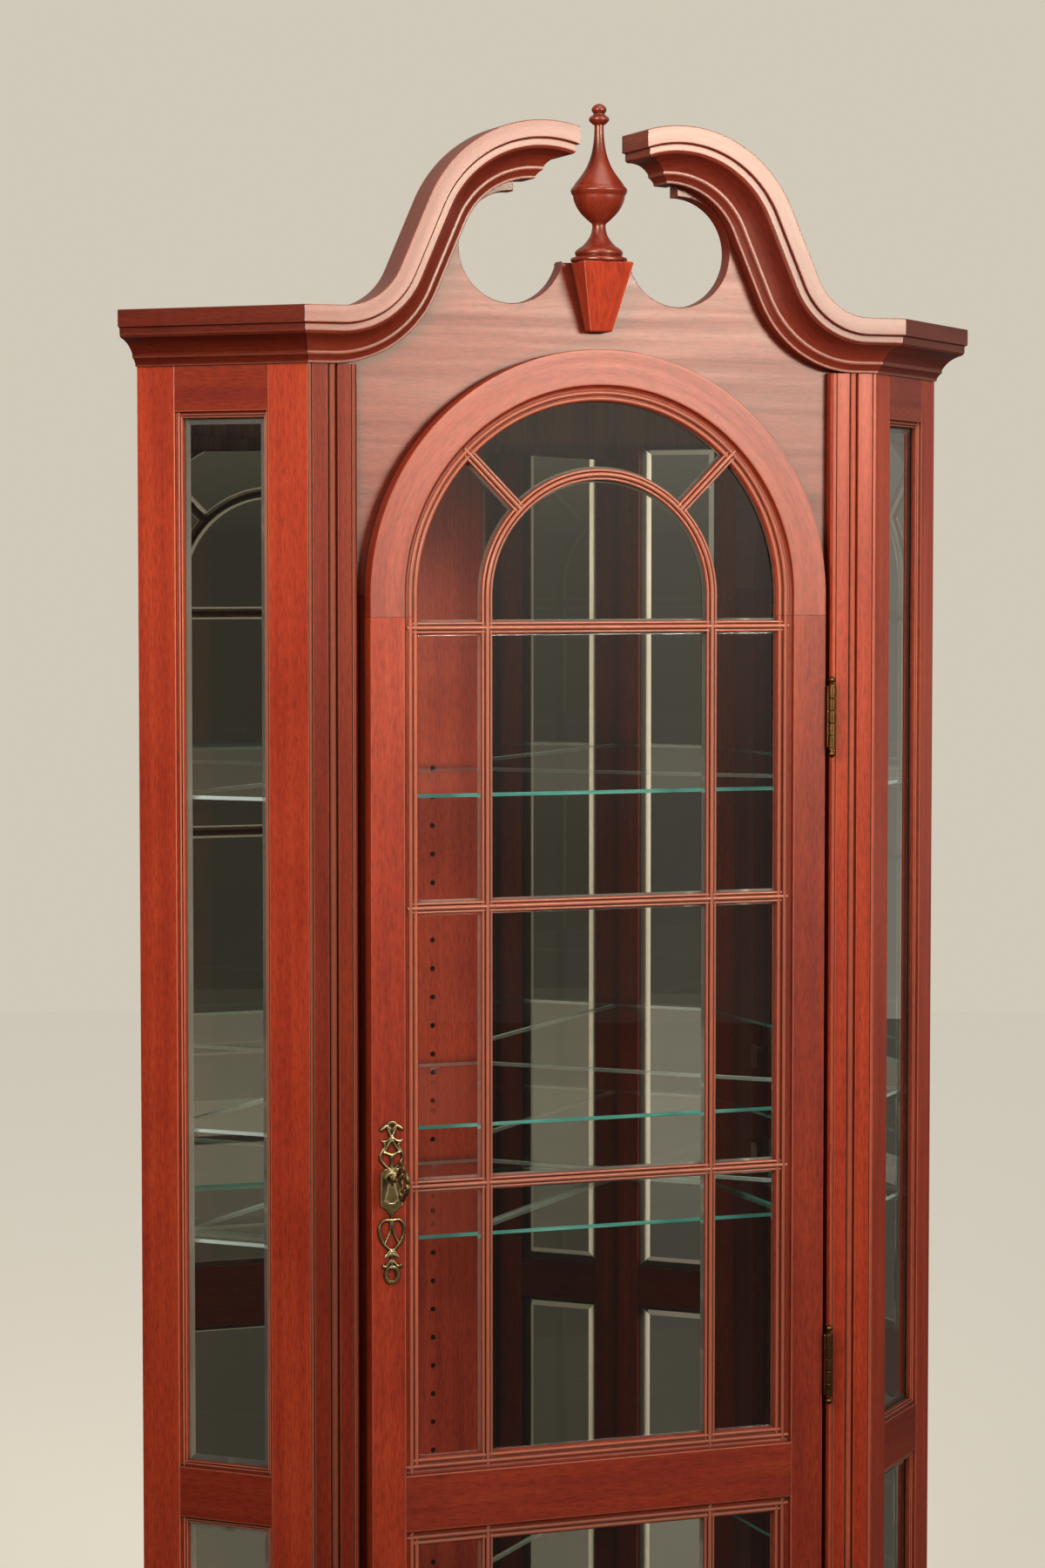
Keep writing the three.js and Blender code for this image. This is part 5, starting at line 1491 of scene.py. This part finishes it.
class BuildLock(bpy.types.Operator):
    """Fix the pierced brass plate, and the lock behind the stile"""
    bl_idname = "curio.build_lock"
    bl_label = "Lock plate and lock"

    def execute(self, context):
        door = context.scene.curio_door
        low, high = local_box("escutcheon")
        front, back = low.y, high.y
        middle, top = -door.keyhole_x, high.z
        tall, half = high.z - low.z, (high.x - low.x) / 2
        pieces = []

        def spot(across, down):
            """A place on the plate, as shares of its half width and of its height from the top"""
            return Vector((middle + half * across, top - tall * down))

        def ring(name, start, end, wide, wall):
            """An oval ring between two heights"""
            z, height = top - tall * (start + end) / 2, tall * (end - start) / 2
            loops = [
                [Vector((middle + a.x * (half * wide - thin), z + a.y * (height - thin)))
                 for a in circle(0, 0, 1, 40)]
                for thin in (0, half * wall)]
            pieces.append(plate(name, loops, front, back, THIN_EASE))

        def strand(name, path, widths):
            """One drawn strand of the plate"""
            points = [spot(across, down) for across, down in path]
            pieces.append(wire(name, points, widths, (front + back) / 2, 0.8))

        def both(name, path, widths):
            """A strand on each side of the plate's middle"""
            for hand in (-1, 1):
                strand(f"{name}_{hand}", [(across * hand, down) for across, down in path], widths)

        ring("crown_ring", 0.0, 0.062, 0.44, 0.24)
        both("crown_wing", [(0.2, 0.03), (0.5, 0.032), (0.76, 0.052), (0.88, 0.05)], [1.1, 1.7, 2.0, 0.9])
        both("crown_foot", [(0.3, 0.05), (0.14, 0.08), (0.0, 0.105)], [1.1, 1.4, 1.8])
        both("horn", [(0.0, 0.1), (0.32, 0.12), (0.66, 0.126), (0.8, 0.116)], [1.5, 1.6, 1.5, 0.6])
        both("lyre", [(0.62, 0.122), (0.54, 0.16), (0.82, 0.2), (0.84, 0.235), (0.55, 0.268), (0.2, 0.295)],
             [1.2, 1.3, 1.4, 1.4, 1.5, 1.6])
        both("lyre_brace", [(0.0, 0.112), (0.26, 0.15), (0.6, 0.19)], [1.5, 1.3, 1.2])
        both("lyre_bar", [(0.7, 0.188), (0.3, 0.2), (0.0, 0.212)], [1.1, 1.7, 2.0])
        strand("lyre_stem", [(0, 0.205), (0, 0.24), (0, 0.27), (0, 0.31)], [2.0, 1.5, 1.6, 2.4])
        shield = [(-0.84, 0.312), (-0.45, 0.29), (0.45, 0.29), (0.84, 0.312), (0.86, 0.42), (0.86, 0.52),
                  (0.6, 0.532), (0.3, 0.555), (0.1, 0.585), (0, 0.6), (-0.1, 0.585), (-0.3, 0.555),
                  (-0.6, 0.532), (-0.86, 0.52), (-0.86, 0.42)]
        outline = [spot(across, down) for across, down in shield]
        keyhole = self.keyhole(middle, door.keyhole)
        pieces.append(plate("shield", [outline, keyhole], front + 0.0004, back, THIN_EASE))
        both("raised_arch", [(0.0, 0.318), (0.34, 0.326), (0.48, 0.352), (0.3, 0.376)], [0.9, 0.9, 0.8, 0.6])
        both("raised_leg", [(0.24, 0.38), (0.34, 0.43), (0.56, 0.49)], [0.7, 0.7, 0.8])
        both("raised_hem", [(0.56, 0.49), (0.36, 0.488), (0.22, 0.502), (0.0, 0.505)], [0.8, 0.7, 0.8, 0.9])
        both("raised_side", [(0.8, 0.318), (0.82, 0.42), (0.82, 0.515)], [0.6, 0.7, 0.6])
        both("lower_loop", [(0.0, 0.608), (0.6, 0.608), (0.93, 0.645), (0.93, 0.695), (0.68, 0.745),
                            (0.25, 0.782), (0.0, 0.8)], [1.9, 1.6, 1.5, 1.5, 1.5, 1.4, 1.7])
        both("lower_petal", [(0.05, 0.615), (0.1, 0.665), (0.28, 0.71), (0.52, 0.748)], [1.7, 1.1, 1.0, 1.1])
        both("fish_tail", [(0.0, 0.785), (0.26, 0.81), (0.52, 0.836)], [1.5, 1.5, 1.0])
        both("tail_bar", [(0.5, 0.832), (0.24, 0.822), (0.0, 0.812)], [0.9, 1.5, 2.1])
        strand("foot_stem", [(0, 0.8), (0, 0.84), (0, 0.87), (0, 0.9)], [1.9, 1.4, 1.5, 1.6])
        both("foot_lobe", [(0.0, 0.85), (0.24, 0.872), (0.48, 0.892), (0.74, 0.886)], [1.3, 1.3, 1.7, 2.2])
        ring("bottom_ring", 0.885, 1.0, 0.6, 0.26)
        dress(joined("pierced_lock_plate", pieces), aged_brass(), "antique_brass", "door", "escutcheon")

        low, high = local_box("lock_case")
        outline = eased(rectangle(low.x, low.z, high.x, high.z), 0.003, 4)
        hole = circle(middle, door.keyhole, 0.003, 24)
        pieces = [plate("case", [outline, hole], low.y, high.y, 0.0006)]
        head = [(0, 0), (0, 0.0028), (0.0006, 0.0024), (0.0009, 0.0008), (0.0009, 0)]
        spread = 0.022
        for up in (-spread, spread):
            place = Vector(((low.x + high.x) / 2, FRONT + high.y - 0.0001, door.keyhole + up))
            pieces.append(turned(f"screw_{up}", head, place, "y", 20))
        dress(joined("rim_lock_case", pieces), plated_steel(), "lock_steel", "door", "lock_case")
        return {"FINISHED"}

    @staticmethod
    def keyhole(x, z):
        """A round hole with a straight slot under it"""
        head = arc(x, z, 0.0031, math.radians(-60), math.radians(240), 20)
        half, deep = 0.0012, 0.0085
        return [*head, Vector((x - half, z - deep)), Vector((x + half, z - deep))]


class BuildKey(bpy.types.Operator):
    """Put the key in the lock, with its pawl behind the face frame"""
    bl_idname = "curio.build_key"
    bl_label = "Key"

    def execute(self, context):
        door = context.scene.curio_door
        low, high = local_box("key")
        x, z = -door.keyhole_x, door.keyhole
        bow, reach, half = low.y + 0.022, 0.033, 0.0185
        stem, collar = 0.0024, 0.0037
        rings = [(-0.0036, 0), (-0.0036, 0.0022), (0, stem), (0.002, stem), (0.0026, 0.0036), (0.004, 0.0036),
                 (0.0046, stem), (0.0075, 0.0022), (0.008, collar), (0.0125, collar), (0.013, stem)]
        shaft = [(bow + along, radius) for along, radius in rings]
        shaft += [(high.y - 0.001, stem), (high.y, 0.0018), (high.y, 0)]
        pieces = [turned("shaft", shaft, Vector((x, FRONT, z)), "y", 24)]
        edge_on = Matrix(((0, 0, 1, x), (-1, 0, 0, FRONT + bow), (0, 1, 0, z), (0, 0, 0, 1)))

        def both(name, path, widths):
            """A strand on each side of the bow's middle"""
            for hand in (-1, 1):
                points = [Vector((reach * a, half * b * hand)) for a, b in path]
                pieces.append(wire(f"{name}_{hand}", points, widths, 0, 0.9, edge_on))

        both("outer", [(0.02, 0.06), (0.1, 0.28), (0.24, 0.5), (0.3, 0.72), (0.22, 0.86), (0.32, 0.94),
                       (0.56, 0.88), (0.66, 0.66), (0.86, 0.5), (0.93, 0.24), (0.9, 0.0)],
             [1.9, 2.0, 2.0, 1.9, 1.8, 2.0, 2.2, 2.0, 2.2, 2.0, 2.0])
        both("inner", [(0.1, 0.0), (0.3, 0.12), (0.5, 0.3), (0.48, 0.5), (0.34, 0.52)],
             [1.8, 1.6, 1.6, 1.6, 1.2])
        both("curl", [(0.9, 0.1), (0.74, 0.2), (0.62, 0.36), (0.7, 0.5)], [1.6, 1.6, 1.5, 1.2])
        dress(joined("fancy_key", pieces), aged_brass(), "antique_brass", "key", "key")
        low, high = local_box("lock_pawl")
        outline = eased(rectangle(low.x, low.z, high.x, high.z), 0.004, 4)
        piece = plate("lock_pawl_arm", [outline], low.y, high.y, 0.0004)
        dress(piece, plated_steel(), "lock_steel", "key", "lock_pawl")
        return {"FINISHED"}


BUILDERS = (
    BuildStage, BuildSides, BuildFace, BuildCornice, BuildPediment, BuildBase, BuildInside, BuildShelves,
    BuildDoor, BuildBars, BuildHinges, BuildLock, BuildKey)
SETTINGS = (
    ("curio_case", CaseSizes), ("curio_pediment", PedimentSizes), ("curio_door", DoorSizes),
    ("curio_finishes", Finishes))


class CurioPanel(bpy.types.Panel):
    """Lists the cabinet's sizes and its builders"""
    bl_idname = "VIEW3D_PT_curio"
    bl_label = "Corner curio cabinet"
    bl_space_type = "VIEW_3D"
    bl_region_type = "UI"
    bl_category = "Curio"

    def draw(self, context):
        for name, group in SETTINGS:
            box = self.layout.box()
            box.label(text=group.__doc__)
            for key in group.__annotations__:
                box.prop(getattr(context.scene, name), key)
        for builder in BUILDERS:
            self.layout.operator(builder.bl_idname)


CLASSES = (*(group for _, group in SETTINGS), *BUILDERS, CurioPanel)


def register():
    """Registers the classes and hangs the settings on the scene"""
    for item in CLASSES:
        bpy.utils.register_class(item)
    for name, group in SETTINGS:
        setattr(bpy.types.Scene, name, bpy.props.PointerProperty(type=group))


def unregister():
    """Takes the settings off the scene and the classes out"""
    for name, _ in SETTINGS:
        delattr(bpy.types.Scene, name)
    for item in reversed(CLASSES):
        bpy.utils.unregister_class(item)


def main():
    """Builds the cabinet piece by piece"""
    register()
    for builder in BUILDERS:
        group, name = builder.bl_idname.split(".")
        getattr(getattr(bpy.ops, group), name)()


if __name__ == "__main__":
    main()
